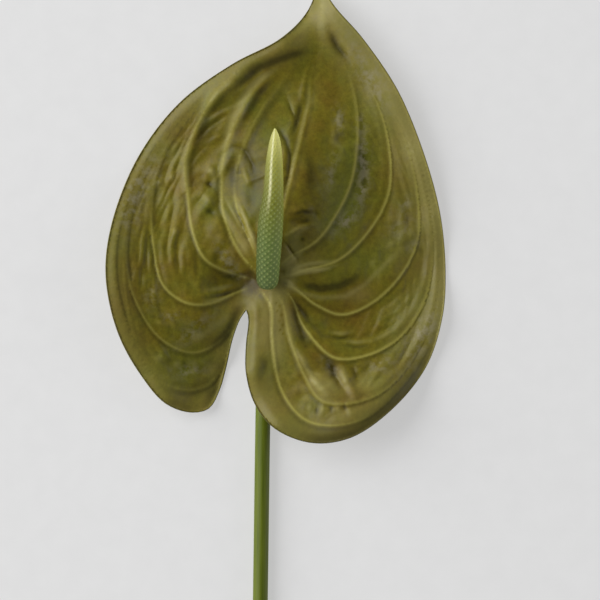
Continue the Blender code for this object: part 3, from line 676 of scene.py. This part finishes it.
def places_of(side, points):
    """Column and share of plan points on one side, and how far off they are, by Newton from samples."""
    column, share = (a.ravel() for a in np.meshgrid(COLUMN_STEPS, SHARE_STEPS, indexing="ij"))
    samples = np.column_stack(blade_plan(side, column, share)[:2])
    tree = search_tree(samples)
    nearest = np.array([tree.find((*p, 0))[1] for p in points])
    c, s = column[nearest], share[nearest]
    best_c, best_s, best = c, s, np.full(len(c), np.inf)
    for _ in range(NEWTON_STEPS):
        at = np.column_stack(blade_plan(side, c, s)[:2])
        off = points - at
        error = np.linalg.norm(off, axis=1)
        better = error < best
        best_c, best_s, best = (np.where(better, a, b) for a, b in ((c, best_c), (s, best_s), (error, best)))
        dc = np.where((c >= 7) | (c - np.floor(c) > 0.5), -1e-3, 1e-3)
        ds = np.where(s > 0.5, -1e-4, 1e-4)
        by_c = (np.column_stack(blade_plan(side, c + dc, s)[:2]) - at) / dc[:, None]
        by_s = (np.column_stack(blade_plan(side, c, s + ds)[:2]) - at) / ds[:, None]
        area = by_c[:, 0] * by_s[:, 1] - by_c[:, 1] * by_s[:, 0]
        area = np.where(np.abs(area) < 1.0, np.inf, area)
        step_c = (off[:, 0] * by_s[:, 1] - off[:, 1] * by_s[:, 0]) / area
        step_s = (by_c[:, 0] * off[:, 1] - by_c[:, 1] * off[:, 0]) / area
        c = np.clip(c + np.clip(step_c, -0.06, 0.06), 0, 7)
        s = np.clip(s + np.clip(step_s, -0.006, 0.006), 0, 1)
    return best_c, best_s, best


# %% Height of every corner
x, y = plan.T
d = margin_distance(x, y)
left_places, right_places = (places_of(side, plan) for side in ("left", "right"))
right = right_places[2] < left_places[2]
column, share, off = (np.where(right, b, a) for a, b in zip(left_places, right_places))
f, width, run = (np.zeros(len(plan)) for _ in range(3))
sector = np.zeros(len(plan), int)
for number, side in enumerate(("left", "right")):
    here = right == bool(number)
    _, _, f[here], sector[here], width[here], run[here] = blade_plan(side, column[here], share[here])
print("off by over 0.05 mm:", int((off > 0.05).sum()), "worst", round(float(off.max()), 2))
z = blade_form(x, y, d) + blade_relief(right, x, y, f, sector, width, run, share, d)
print(f"blade heights {z.min():.1f} to {z.max():.1f} mm")


# %% Both faces and the rounded edge
THICKNESS = 0.8
EDGE_SHARE = 0.55                    # how thick the blade still is at its margin
EDGE_BULGE = 0.22
REST_SQUASH = 0.12                   # how far the lowest corners are pressed flat
TABLE_GAP = 0.02


def surface_normals(points, triangles):
    """Normal at each corner, weighted by the triangles round it."""
    a, b, c = (points[triangles[:, k]] for k in range(3))
    across = np.cross(b - a, c - a)
    normals = np.zeros_like(points)
    for k in range(3):
        np.add.at(normals, triangles[:, k], across)
    return normals / np.maximum(np.linalg.norm(normals, axis=1, keepdims=True), 1e-12)


middle = np.column_stack([x, y, z])
normals = surface_normals(middle, faces)
if normals[:, 2].mean() < 0:
    faces = faces[:, ::-1]
    normals = -normals
thick = THICKNESS * (EDGE_SHARE + (1 - EDGE_SHARE) * smooth_step(0, 2.5, d))
front = middle + normals * (thick / 2)[:, None]
back = middle - normals * (thick / 2)[:, None]
along = np.roll(middle[rim_ids], -1, axis=0) - np.roll(middle[rim_ids], 1, axis=0)
outward = np.cross(along, normals[rim_ids])
outward /= np.linalg.norm(outward, axis=1, keepdims=True)
centre = middle[:, :2].mean(0)
if ((middle[rim_ids][:, :2] - centre) * outward[:, :2]).sum() < 0:
    outward = -outward
edge = middle[rim_ids] + outward * EDGE_BULGE
count = len(middle)
points = np.vstack([front, back, edge])
lowest = points[:, 2].min()
points[:, 2] = np.maximum(points[:, 2] - lowest - REST_SQUASH, TABLE_GAP)
print(f"blade from {lowest:.2f} mm, {int((points[:, 2] <= TABLE_GAP).sum())} corners on the table")
e = 2 * count + np.arange(len(rim_ids))
n = np.roll(np.arange(len(rim_ids)), -1)
upper = np.concatenate([np.column_stack([rim_ids, e, e[n]]), np.column_stack([rim_ids, e[n], rim_ids[n]])])
lower = np.concatenate([np.column_stack([e, rim_ids + count, rim_ids[n] + count]),
                        np.column_stack([e, rim_ids[n] + count, e[n]])])
triangles = np.vstack([faces, faces[:, ::-1] + count, upper, lower])


# %% A piece from points and triangles
def mesh_piece(name, points, triangles, material, attributes):
    """Object of these millimetre points, with a float attribute for each named column."""
    mesh = bpy.data.meshes.new(name)
    mesh.vertices.add(len(points))
    mesh.vertices.foreach_set("co", in_frame(points).ravel())
    mesh.loops.add(3 * len(triangles))
    mesh.loops.foreach_set("vertex_index", np.asarray(triangles, np.int32).ravel())
    mesh.polygons.add(len(triangles))
    mesh.polygons.foreach_set("loop_start", np.arange(0, 3 * len(triangles), 3, dtype=np.int32))
    mesh.update(calc_edges=True)
    mesh.validate()
    for label, values in attributes.items():
        layer = mesh.attributes.new(label, "FLOAT", "POINT")
        layer.data.foreach_set("value", np.asarray(values, np.float32))
    mesh.shade_smooth()
    mesh.materials.append(material)
    piece = bpy.data.objects.new(name, mesh)
    bpy.context.scene.collection.objects.link(piece)
    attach(piece, "root")
    print(f"{name}: {len(points)} corners, {len(triangles)} triangles")
    return piece


# %% [markdown]
# ## Waxy cuticle
#
# A spathe is leaf tissue under a hard shiny cuticle. The tissue gives the colour: brown olive, greener in a
# few places, duller towards the margin and paler on the veins, with a mottling of 2 mm. Painted highlights
# turn the crests pale, painted shade darkens the troughs and grooves, and a grey painted sheen lies on some
# panels, broken into spots of 3 mm. The cuticle gives the gloss, which is uneven, so highlights break up.
# Where each of these lies is painted on the corners as a mask.

# %% Spathe material
cuticle, tree, shader = new_material("waxy olive cuticle", {"IOR": 1.45, "Specular IOR Level": 0.28})
place = add_node(tree, "TexCoord").outputs["Object"]
masks = {label: add_node(tree, "Attribute", {"attribute_name": label}).outputs["Fac"]
         for label in ("vein", "margin", "painted_light_and_specks", "green", "painted_sheen")}
patches, mottle, broken, skin = (
    add_node(tree, "TexNoise", {"Scale": grain(size), "Detail": detail, "Roughness": rough}, {"Vector": place})
    for size, detail, rough in ((16.667, 5.0, 0.6), (2, 4.0, 0.7), (3.125, 3.0, 0.6), (1.1111, 3.0, 0.5)))
tissue = add_node(tree, "ValToRGB", links={"Fac": patches.outputs["Fac"]},
                  ramp=[(0.3, linear("#6B5814")), (0.5, linear("#6E6414")), (0.7, linear("#66661A"))])
speckle = add_node(tree, "MapRange", {"From Min": 0.3, "From Max": 0.7, "To Min": 0.78, "To Max": 1.22},
                   {"Value": mottle.outputs["Fac"]})
greener = add_node(tree, "Mix", {"data_type": "RGBA", 7: linear("#676C1E")},
                   {0: masks["green"], 6: tissue.outputs["Color"]})
mottled = add_node(tree, "VectorMath", {"operation": "MULTIPLY"},
                   {0: greener.outputs[2], 1: speckle.outputs["Result"]})
edged = add_node(tree, "Mix", {"data_type": "RGBA", 7: linear("#827B42")},
                 {0: masks["margin"], 6: mottled.outputs["Vector"]})
veined = add_node(tree, "Mix", {"data_type": "RGBA", 7: linear("#A29A48")},
                  {0: masks["vein"], 6: edged.outputs[2]})
# a value below 0 is painted shade that darkens the skin, and one above 0 is a painted highlight that turns it
# pale
crease_painted_shade = add_node(tree, "MapRange", {"From Min": -1.0, "From Max": 0.0, "To Min": 0.4, "To Max": 1.0},
                  {"Value": masks["painted_light_and_specks"]})
with_painted_shade = add_node(tree, "VectorMath", {"operation": "MULTIPLY"},
                   {0: veined.outputs[2], 1: crease_painted_shade.outputs["Result"]})
# painted highlight: crests and listed places are mixed towards a pale colour
crest_painted_highlight = add_node(tree, "MapRange", {"From Max": 2.0, "To Max": 0.66}, {"Value": masks["painted_light_and_specks"]})
with_painted_highlight = add_node(tree, "Mix", {"data_type": "RGBA", 7: linear("#ABA364")},
                   {0: crest_painted_highlight.outputs["Result"], 6: with_painted_shade.outputs["Vector"]})
# painted sheen: grey highlight spots, broken up by noise
spots = add_node(tree, "MapRange", {"From Min": 0.42, "From Max": 0.62, "To Max": 0.9},
                 {"Value": broken.outputs["Fac"]})
sheen_amount = add_node(tree, "Math", {"operation": "MULTIPLY"}, {0: masks["painted_sheen"], 1: spots.outputs["Result"]})
with_painted_sheen = add_node(tree, "Mix", {"data_type": "RGBA", 7: linear("#8E8766")},
                 {0: sheen_amount.outputs["Value"], 6: with_painted_highlight.outputs[2]})
gloss = add_node(tree, "MapRange", {"To Min": 0.36, "To Max": 0.56}, {"Value": mottle.outputs["Fac"]})
bump = add_node(tree, "Bump", {"Strength": 0.35, "Distance": 0.0002}, {"Height": skin.outputs["Fac"]})
for output, socket in ((with_painted_sheen.outputs[2], "Base Color"), (gloss.outputs["Result"], "Roughness"),
                       (bump.outputs["Normal"], "Normal")):
    tree.links.new(output, shader.inputs[socket])

# %% Places that differ in colour
# Greener places: x, y, direction in degrees, half length, half width, amount.
GREEN_PLACES = [
    (34, 44, 80, 22, 8, 0.7), (27, 24, 50, 14, 8, 0.6), (40, 8, 20, 16, 7, 0.6), (-34, -32, 20, 14, 9, 0.5),
]
# Painted highlights in the same terms, and painted shade below 0.
PAINTED_LIGHT_PLACES = [
    # tip and right margin
    (20.8, 102, 88, 9, 1.6, 0.9), (15, 98, 60, 6, 2.2, 0.6), (58, 55, -65, 30, 8, 0.35),
    (57, -20, 60, 14, 7, 0.3), (50, 18, 80, 12, 6, 0.35), (51, -11, 40, 6, 4, 0.5), (35, -5, 0, 6, 3, 0.5),
    # lower lobes
    (22, -42, -45, 16, 4, 0.3), (23, -39.5, 0, 7, 3.5, 0.9), (37, -39, 0, 5, 3, 0.5), (1, -22, 90, 16, 4, 0.25),
    (3, -9, 88, 20, 3.2, 1.0), (6, -22, 75, 12, 3, 0.5), (-11.5, -29, 75, 10, 3.5, -1.0),
    (-19, -43, 40, 5, 3, -0.8), (-24, -40, 30, 8, 4, -0.35),
    # round the node and left of the spadix
    (8.8, 7, 80, 11, 3.5, 1.6), (14, 6, 20, 7, 3.5, 0.4), (-6, -2.5, 0, 4.5, 3.5, -1.0),
    (-11.5, 0.5, 10, 5, 2.5, -0.6), (-8.5, 15, 60, 5, 2.5, 1.1),
    (-5, 37, 85, 14, 4.5, -0.8), (-22.5, 58, 62, 12, 3, -0.5), (-13.5, 41, 90, 7, 3, -0.5),
    (-9.5, 3.5, -30, 4, 2, 0.3),
    # left wing
    (-51, 34, 75, 10, 7, 0.45), (-40, 49, 60, 7, 4, 0.35), (-48, 0, 80, 16, 9, -0.25),
]
# Painted sheen, grey highlight spots, in the same terms.
PAINTED_SHEEN_PLACES = [
    (27.5, 62, 90, 5, 2, 0.8), (26.5, 48, 90, 4, 1.5, 0.5), (23.7, 40, 80, 5.5, 2, 0.7),
    (35.6, 61, 90, 3, 2, 0.7), (37, 49, 90, 8, 2.5, 0.9), (36.3, 35.5, 80, 6, 2.5, 0.9),
    (29.8, 23.5, 40, 5.5, 3, 1.0), (53, 29.5, 60, 4, 2, 0.7), (51.5, 21, 25, 5.5, 3, 0.7),
    (56, 14, 50, 5, 2, 0.5), (43, -32, 30, 5, 3, 0.7), (24, -33, -50, 5, 2, 0.6), (60, -20, 55, 15, 5, 0.9),
    (37, 84, -60, 14, 5, 0.6), (-52.5, 31, 75, 11, 5, 1.0), (-45, 43, 60, 10, 5, 0.5),
    (42, 74, -62, 10, 3, 0.5), (-28, -18, 40, 9, 3, 0.6), (-30, -34, 10, 7, 2.5, 0.7), (-44, -5, 80, 5, 3, 0.5),
    (-37, -13, 10, 4, 2, 0.6), (-15, 8, -55, 8, 2.5, 0.7),
]
# Small brown specks, in the same terms: one bruise by the spadix's foot and a row below the node.
SPECKS = [(13.4, 16.5, 0, 0.8, 0.7, -1.4)] + [(sx, sy, 60, 0.6, 0.35, -1.3) for sx, sy in (
    (3.4, -8), (4.6, -9.2), (3.8, -11.1), (5.3, -12.6), (4.6, -14.9), (5.7, -16.5), (4.9, -18.4), (6.1, -19.9))]
# How plainly each vein shows, from the midrib outward to the last one before the margin.
VEIN_SHOWS = {"left": (0.35, 0.6, 0.8, 0.8, 0.8, 0.5, 0.2), "right": (0.35, 0.8, 0.9, 1.0, 1.0, 0.45, 0.8)}
VEIN_SHADE = 0.5                     # how dark the painted shade is in the groove beside a vein
FOLD_PAINTED_LIGHT = 2.0                      # how strongly the folds' listed painted highlights and painted shade are drawn
DARKEST, PALEST = -1, 2              # the range of painted light and shade that the material reads


def painted(places):
    """Sum of the soft spots at every corner."""
    return sum(swell(x, y, place) for place in places)


# %% Masks
near_vein = np.minimum(f, 1 - f) * width
vein_fade = 1 - smooth_step(0.5, 0.8, share)
lean = np.where(right, 0.0, smooth_step(0.2, 0.5, share))
nearest = sector + (f > 0.5)
shows = by_sector(VEIN_SHOWS, right, np.minimum(nearest, 6)) * (1 - 0.45 * smooth_step(50, 130, run))
vein_line = shows * (1 - 0.45 * lean) * np.exp(-(near_vein / (0.5 + 0.7 * lean)) ** 2)
vein_line = vein_line * smooth_step(2, 7, width) * smooth_step(2, 8, d) * vein_fade
vein_line = vein_line * np.where(right | (nearest <= 3), 1, 1 - smooth_step(0.3, 0.5, share))
margin_zone = np.where(right, 0.5, 0.4) * (1 - smooth_step(0, np.where(right, 22, 14), d))
beside = np.where(lean > 0.5, 1 - f, f) * width
# painted shade in the groove beside each vein
groove_painted_shade = -VEIN_SHADE * (1 + 0.5 * lean) * np.exp(-((beside - 1.5 - 0.6 * lean) / (1.0 + 0.8 * lean)) ** 2)
groove_painted_shade = groove_painted_shade * smooth_step(4, 9, width) * vein_fade
# painted shade on the right margin round the bottom of the lobe, and a painted highlight from there to the tip
rim_painted_light = 0.8 * smooth_step(0.42, 0.48, share)
rim_painted_light = rim_painted_light - 0.9 * smooth_step(0.2, 0.24, share) * (1 - smooth_step(0.38, 0.44, share))
rim_painted_light = np.where(right, 1 - smooth_step(0, 9, d), 0) * rim_painted_light
# painted light: highlights on fold crests, painted shade in fold troughs, beside the veins and at listed
# places; the specks are the skin's own
fold_painted_light = sum(change * fold_shape(x, y, line, half_width) for line, _, half_width, change in FOLDS)
painted_light_and_specks = FOLD_PAINTED_LIGHT * fold_painted_light + groove_painted_shade + painted(PAINTED_LIGHT_PLACES)
painted_light_and_specks = np.clip(np.clip(painted_light_and_specks, DARKEST, PALEST) * smooth_step(0, 2, d) + rim_painted_light, DARKEST, PALEST)
painted_light_and_specks = np.clip(painted_light_and_specks + painted(SPECKS), DARKEST, PALEST)
green_zone = np.clip(painted(GREEN_PLACES), 0, 1)
painted_sheen = np.clip(painted(PAINTED_SHEEN_PLACES), 0, 1) * smooth_step(0, 2, d)
print(f"tone {painted_light_and_specks.min():.1f} to {painted_light_and_specks.max():.1f}, bloom on {100 * (painted_sheen > 0.2).mean():.0f} % of the corners")

# %% Spathe
painting = {"vein": vein_line, "margin": margin_zone, "painted_light_and_specks": painted_light_and_specks, "green": green_zone, "painted_sheen": painted_sheen}
both_faces = {label: np.concatenate([values, values, values[rim_ids]]) for label, values in painting.items()}
spathe = mesh_piece("spathe_fine", points, triangles, cuticle, both_faces)
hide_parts("spathe")

# %% [markdown]
# ## Spadix
#
# The spadix is a tapering spike closely set with florets in slanting rows. Each floret is a little pillow
# of four tepals, about 2.4 mm across, with a stigma at its middle. They are far too many to model one by
# one, so the spike is one fine lofted skin, and a formula lifts the pillows from it.

# %% Lofting along an axis
def loft(axis, sides):
    """Direction of the axis at each ring, the turn of each side, and the way out at every ring and side."""
    along = np.gradient(axis, axis=0)
    along /= np.linalg.norm(along, axis=1, keepdims=True)
    across = np.cross(along, (0, 0, 1))
    across /= np.linalg.norm(across, axis=1, keepdims=True)
    up = np.cross(across, along)
    turn = np.linspace(0, 2 * math.pi, sides, endpoint=False)
    return along, turn, across[:, None] * np.cos(turn)[:, None] + up[:, None] * np.sin(turn)[:, None]


def band(lower, upper, sides):
    """Triangles between two rings, given by their first corners."""
    k = np.arange(sides)
    after = (k + 1) % sides
    return np.vstack([np.column_stack([lower + k, lower + after, upper + after]),
                      np.column_stack([lower + k, upper + after, upper + k])])


def cap(ring, centre, sides):
    """Triangles from a ring to its centre."""
    k = np.arange(sides)
    return np.column_stack([ring + k, ring + (k + 1) % sides, np.full(sides, centre)])


# %% Spadix skin
SPADIX_AXIS = [
    (0, -1.45, 14.15, 3.1), (0.1, 0, 14.9, 3.8), (0.4, 7.3, 18.55, 4.3), (1.35, 21.8, 25.65, 4.55),
    (2.45, 34, 31.65, 3.65), (2.85, 45.8, 37.45, 3), (3.1, 52.6, 40.65, 2.1), (3.15, 56, 42.25, 1.2),
    (3.1, 57.8, 43.15, 0.4),
]
FLORETS_ROUND = 12
FLORET_ROW = 2.45
PILLOW_HEIGHT = 0.3
STIGMA_DEPTH = 0.06
RINGS = 360
SIDES = 216

axis, axis_length = curve_through(SPADIX_AXIS, RINGS)
along, turn, out = loft(axis[:, :3], SIDES)
reach = np.linspace(0, 1, RINGS)[:, None] * axis_length
u = turn[None, :] * FLORETS_ROUND / (2 * math.pi) + 0 * reach
v = reach / FLORET_ROW + 0 * u
# a diamond lattice: distance to the nearest floret centre in a staggered pattern
first = np.hypot(u - np.round(u), v - np.round(v))
second = np.hypot(u - 0.5 - np.round(u - 0.5), v - 0.5 - np.round(v - 0.5))
centre_gap = np.minimum(first, second)
pillow = np.clip(1 - (centre_gap / 0.52) ** 2, 0, 1) ** 0.7
stigma = np.exp(-(centre_gap / 0.13) ** 2)
size = np.clip(axis[:, 3:4] / 4.2, 0.1, 1) * np.clip((axis_length - reach) / 3, 0, 1)
radius = axis[:, 3:4] + size * (PILLOW_HEIGHT * pillow - STIGMA_DEPTH * stigma)
skin_points = (axis[:, None, :3] + out * radius[..., None]).reshape(-1, 3)
skin_points = np.vstack([skin_points, axis[0, :3], axis[-1, :3] + along[-1] * 0.4])
last = (RINGS - 1) * SIDES
skin_faces = np.vstack([band(i * SIDES, (i + 1) * SIDES, SIDES) for i in range(RINGS - 1)]
                       + [cap(0, last + SIDES, SIDES)[:, ::-1], cap(last, last + SIDES + 1, SIDES)])

# %% [markdown]
# ## Floret skin
#
# The florets are satin, a dull grey green at the foot, and they ripen to pale yellow at the top. The
# stigmas are pale dots. Between the florets the skin is darker, because little light gets in. The side
# towards the light is painted darker and the far side painted lighter, and along the upper left a painted
# highlight line runs to the tip.

# %% Spadix masks
towards_right = np.tile(np.cos(turn), RINGS)
# painted highlight: a pale line along the upper left of the spike
ridge_line = np.exp(-((np.cos(turn) + 0.35) / 0.13) ** 2)[None, :]
ridge_line = ridge_line * smooth_step(0.45, 0.7, reach / axis_length) * (0.4 + 0.6 * pillow)
florets = {"height": (np.repeat(np.linspace(0, 1, RINGS), SIDES), 1), "stigma": ((stigma * size).ravel(), 0),
           "pillow": (pillow.ravel(), 0), "side": (towards_right, 0), "ridge": (ridge_line.ravel(), 0)}
florets = {label: np.concatenate([values, [0, at_tip]]) for label, (values, at_tip) in florets.items()}

# %% Spadix material
floret_skin, tree, shader = new_material("satin floret skin", {"Roughness": 0.42, "IOR": 1.45})
masks = {label: add_node(tree, "Attribute", {"attribute_name": label}).outputs["Fac"] for label in florets}
ripeness = add_node(tree, "ValToRGB", links={"Fac": masks["height"]},
                    ramp=[(0.0, linear("#556636")), (0.3, linear("#5E6E34")), (0.55, linear("#6E7226")),
                          (0.8, linear("#9A9A44")), (0.95, linear("#C4C26E"))])
shade = add_node(tree, "ValToRGB", links={"Fac": masks["pillow"]},
                 ramp=[(0.0, linear("#A9B29A")), (0.5, linear("#FFFFFF"))])
grooved = add_node(tree, "Mix", {"data_type": "RGBA", "blend_type": "MULTIPLY", 0: 1.0},
                   {6: ripeness.outputs["Color"], 7: shade.outputs["Color"]})
dotted = add_node(tree, "Mix", {"data_type": "RGBA", 7: linear("#8F985A")},
                  {0: masks["stigma"], 6: grooved.outputs[2]})
# painted highlight line
ridged = add_node(tree, "Mix", {"data_type": "RGBA", 7: linear("#E2E0B0")},
                  {0: masks["ridge"], 6: dotted.outputs[2]})
# painted light: the side away from the key light is painted lighter, the side towards it darker
painted_side_light = add_node(tree, "MapRange", {"From Min": -1.0, "To Min": 0.65, "To Max": 2.2}, {"Value": masks["side"]})
sided = add_node(tree, "VectorMath", {"operation": "MULTIPLY"},
                 {0: ridged.outputs[2], 1: painted_side_light.outputs["Result"]})
tree.links.new(sided.outputs["Vector"], shader.inputs["Base Color"])
spadix = mesh_piece("spadix_fine", skin_points, skin_faces, floret_skin, florets)
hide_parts("spadix")

# %% [markdown]
# ## Stalk
#
# The stalk is a plain round stem, 5.8 mm thick, that bends up behind the blade to meet the spadix. It is
# a loft of rings along its axis. The lower end is a clean cut, where the pith shows paler than the skin.

# %% Stalk mesh
STEM_AXIS = [
    (-6.6, -390, 2.9), (-5.4, -300, 3.1), (-4.1, -210, 3.2), (-2.7, -125, 3.2), (-2.15, -85, 3.3),
    (-1.8, -60, 3.6), (-1.4, -42, 4.2), (-0.8, -28, 4.7), (-0.3, -17, 5.0), (0.1, -10, 5.2), (0.3, -4.6, 5.3),
]
STEM_RADIUS = 2.9
STEM_TOP_RADIUS = 3.2
STEM_RINGS = 320
STEM_SIDES = 56
RIBS = 9
RIB_HEIGHT = 0.03
CUT_RINGS = (0.93, 0.62, 0.3)        # on the cut face, as shares of the radius
CUT_BULGE = 0.05

stem_axis, stem_length = curve_through(STEM_AXIS, STEM_RINGS)
along, turn, out = loft(stem_axis, STEM_SIDES)
radius = STEM_RADIUS + (STEM_TOP_RADIUS - STEM_RADIUS) * smooth_step(-60, -5, stem_axis[:, 1])
ribs = RIB_HEIGHT * np.sin(RIBS * turn)[None, :]
stem_skin = (stem_axis[:, None] + out * (radius[:, None] - RIB_HEIGHT + ribs)[..., None]).reshape(-1, 3)
cut = [stem_axis[0] + out[0] * (radius[0] * inward) - along[0] * CUT_BULGE * (1 - inward)
       for inward in CUT_RINGS]
stem_points = np.vstack([stem_skin, *cut, stem_axis[0], stem_axis[-1]])
last = (STEM_RINGS - 1) * STEM_SIDES
centre = len(stem_points) - 2
rings = [len(stem_skin) + m * STEM_SIDES for m in range(len(CUT_RINGS))]
stem_faces = np.vstack([band(i * STEM_SIDES, (i + 1) * STEM_SIDES, STEM_SIDES) for i in range(STEM_RINGS - 1)]
                       + [band(*pair, STEM_SIDES)[:, ::-1] for pair in zip([0] + rings, rings)]
                       + [cap(rings[-1], centre, STEM_SIDES)[:, ::-1], cap(last, centre + 1, STEM_SIDES)])
pith = np.concatenate([np.zeros(len(stem_skin)), np.full(STEM_SIDES, 0.35), np.ones(2 * STEM_SIDES), [1, 0]])
print(f"stalk {stem_length:.0f} mm long")

# %% Stalk material
stalk_skin, tree, shader = new_material("smooth green stalk skin",
                                        {"Roughness": 0.45, "IOR": 1.45, "Specular IOR Level": 0.3})
coords = add_node(tree, "TexCoord")
stretch = add_node(tree, "Mapping", {"Scale": (1.0, 0.03, 1.0)}, {"Vector": coords.outputs["Object"]})
streaks = add_node(tree, "TexNoise", {"Scale": grain(0.7143), "Detail": 3.0},
                   {"Vector": stretch.outputs["Vector"]})
green = add_node(tree, "ValToRGB", links={"Fac": streaks.outputs["Fac"]},
                 ramp=[(0.3, linear("#526010")), (0.7, linear("#68741A"))])
pith_mask = add_node(tree, "Attribute", {"attribute_name": "pith"})
cut_face = add_node(tree, "Mix", {"data_type": "RGBA", 7: linear("#B4BC84")},
                    {0: pith_mask.outputs["Fac"], 6: green.outputs["Color"]})
tree.links.new(cut_face.outputs[2], shader.inputs["Base Color"])
stem = mesh_piece("stem_fine", stem_points, stem_faces, stalk_skin, {"pith": pith})
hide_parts("stem")
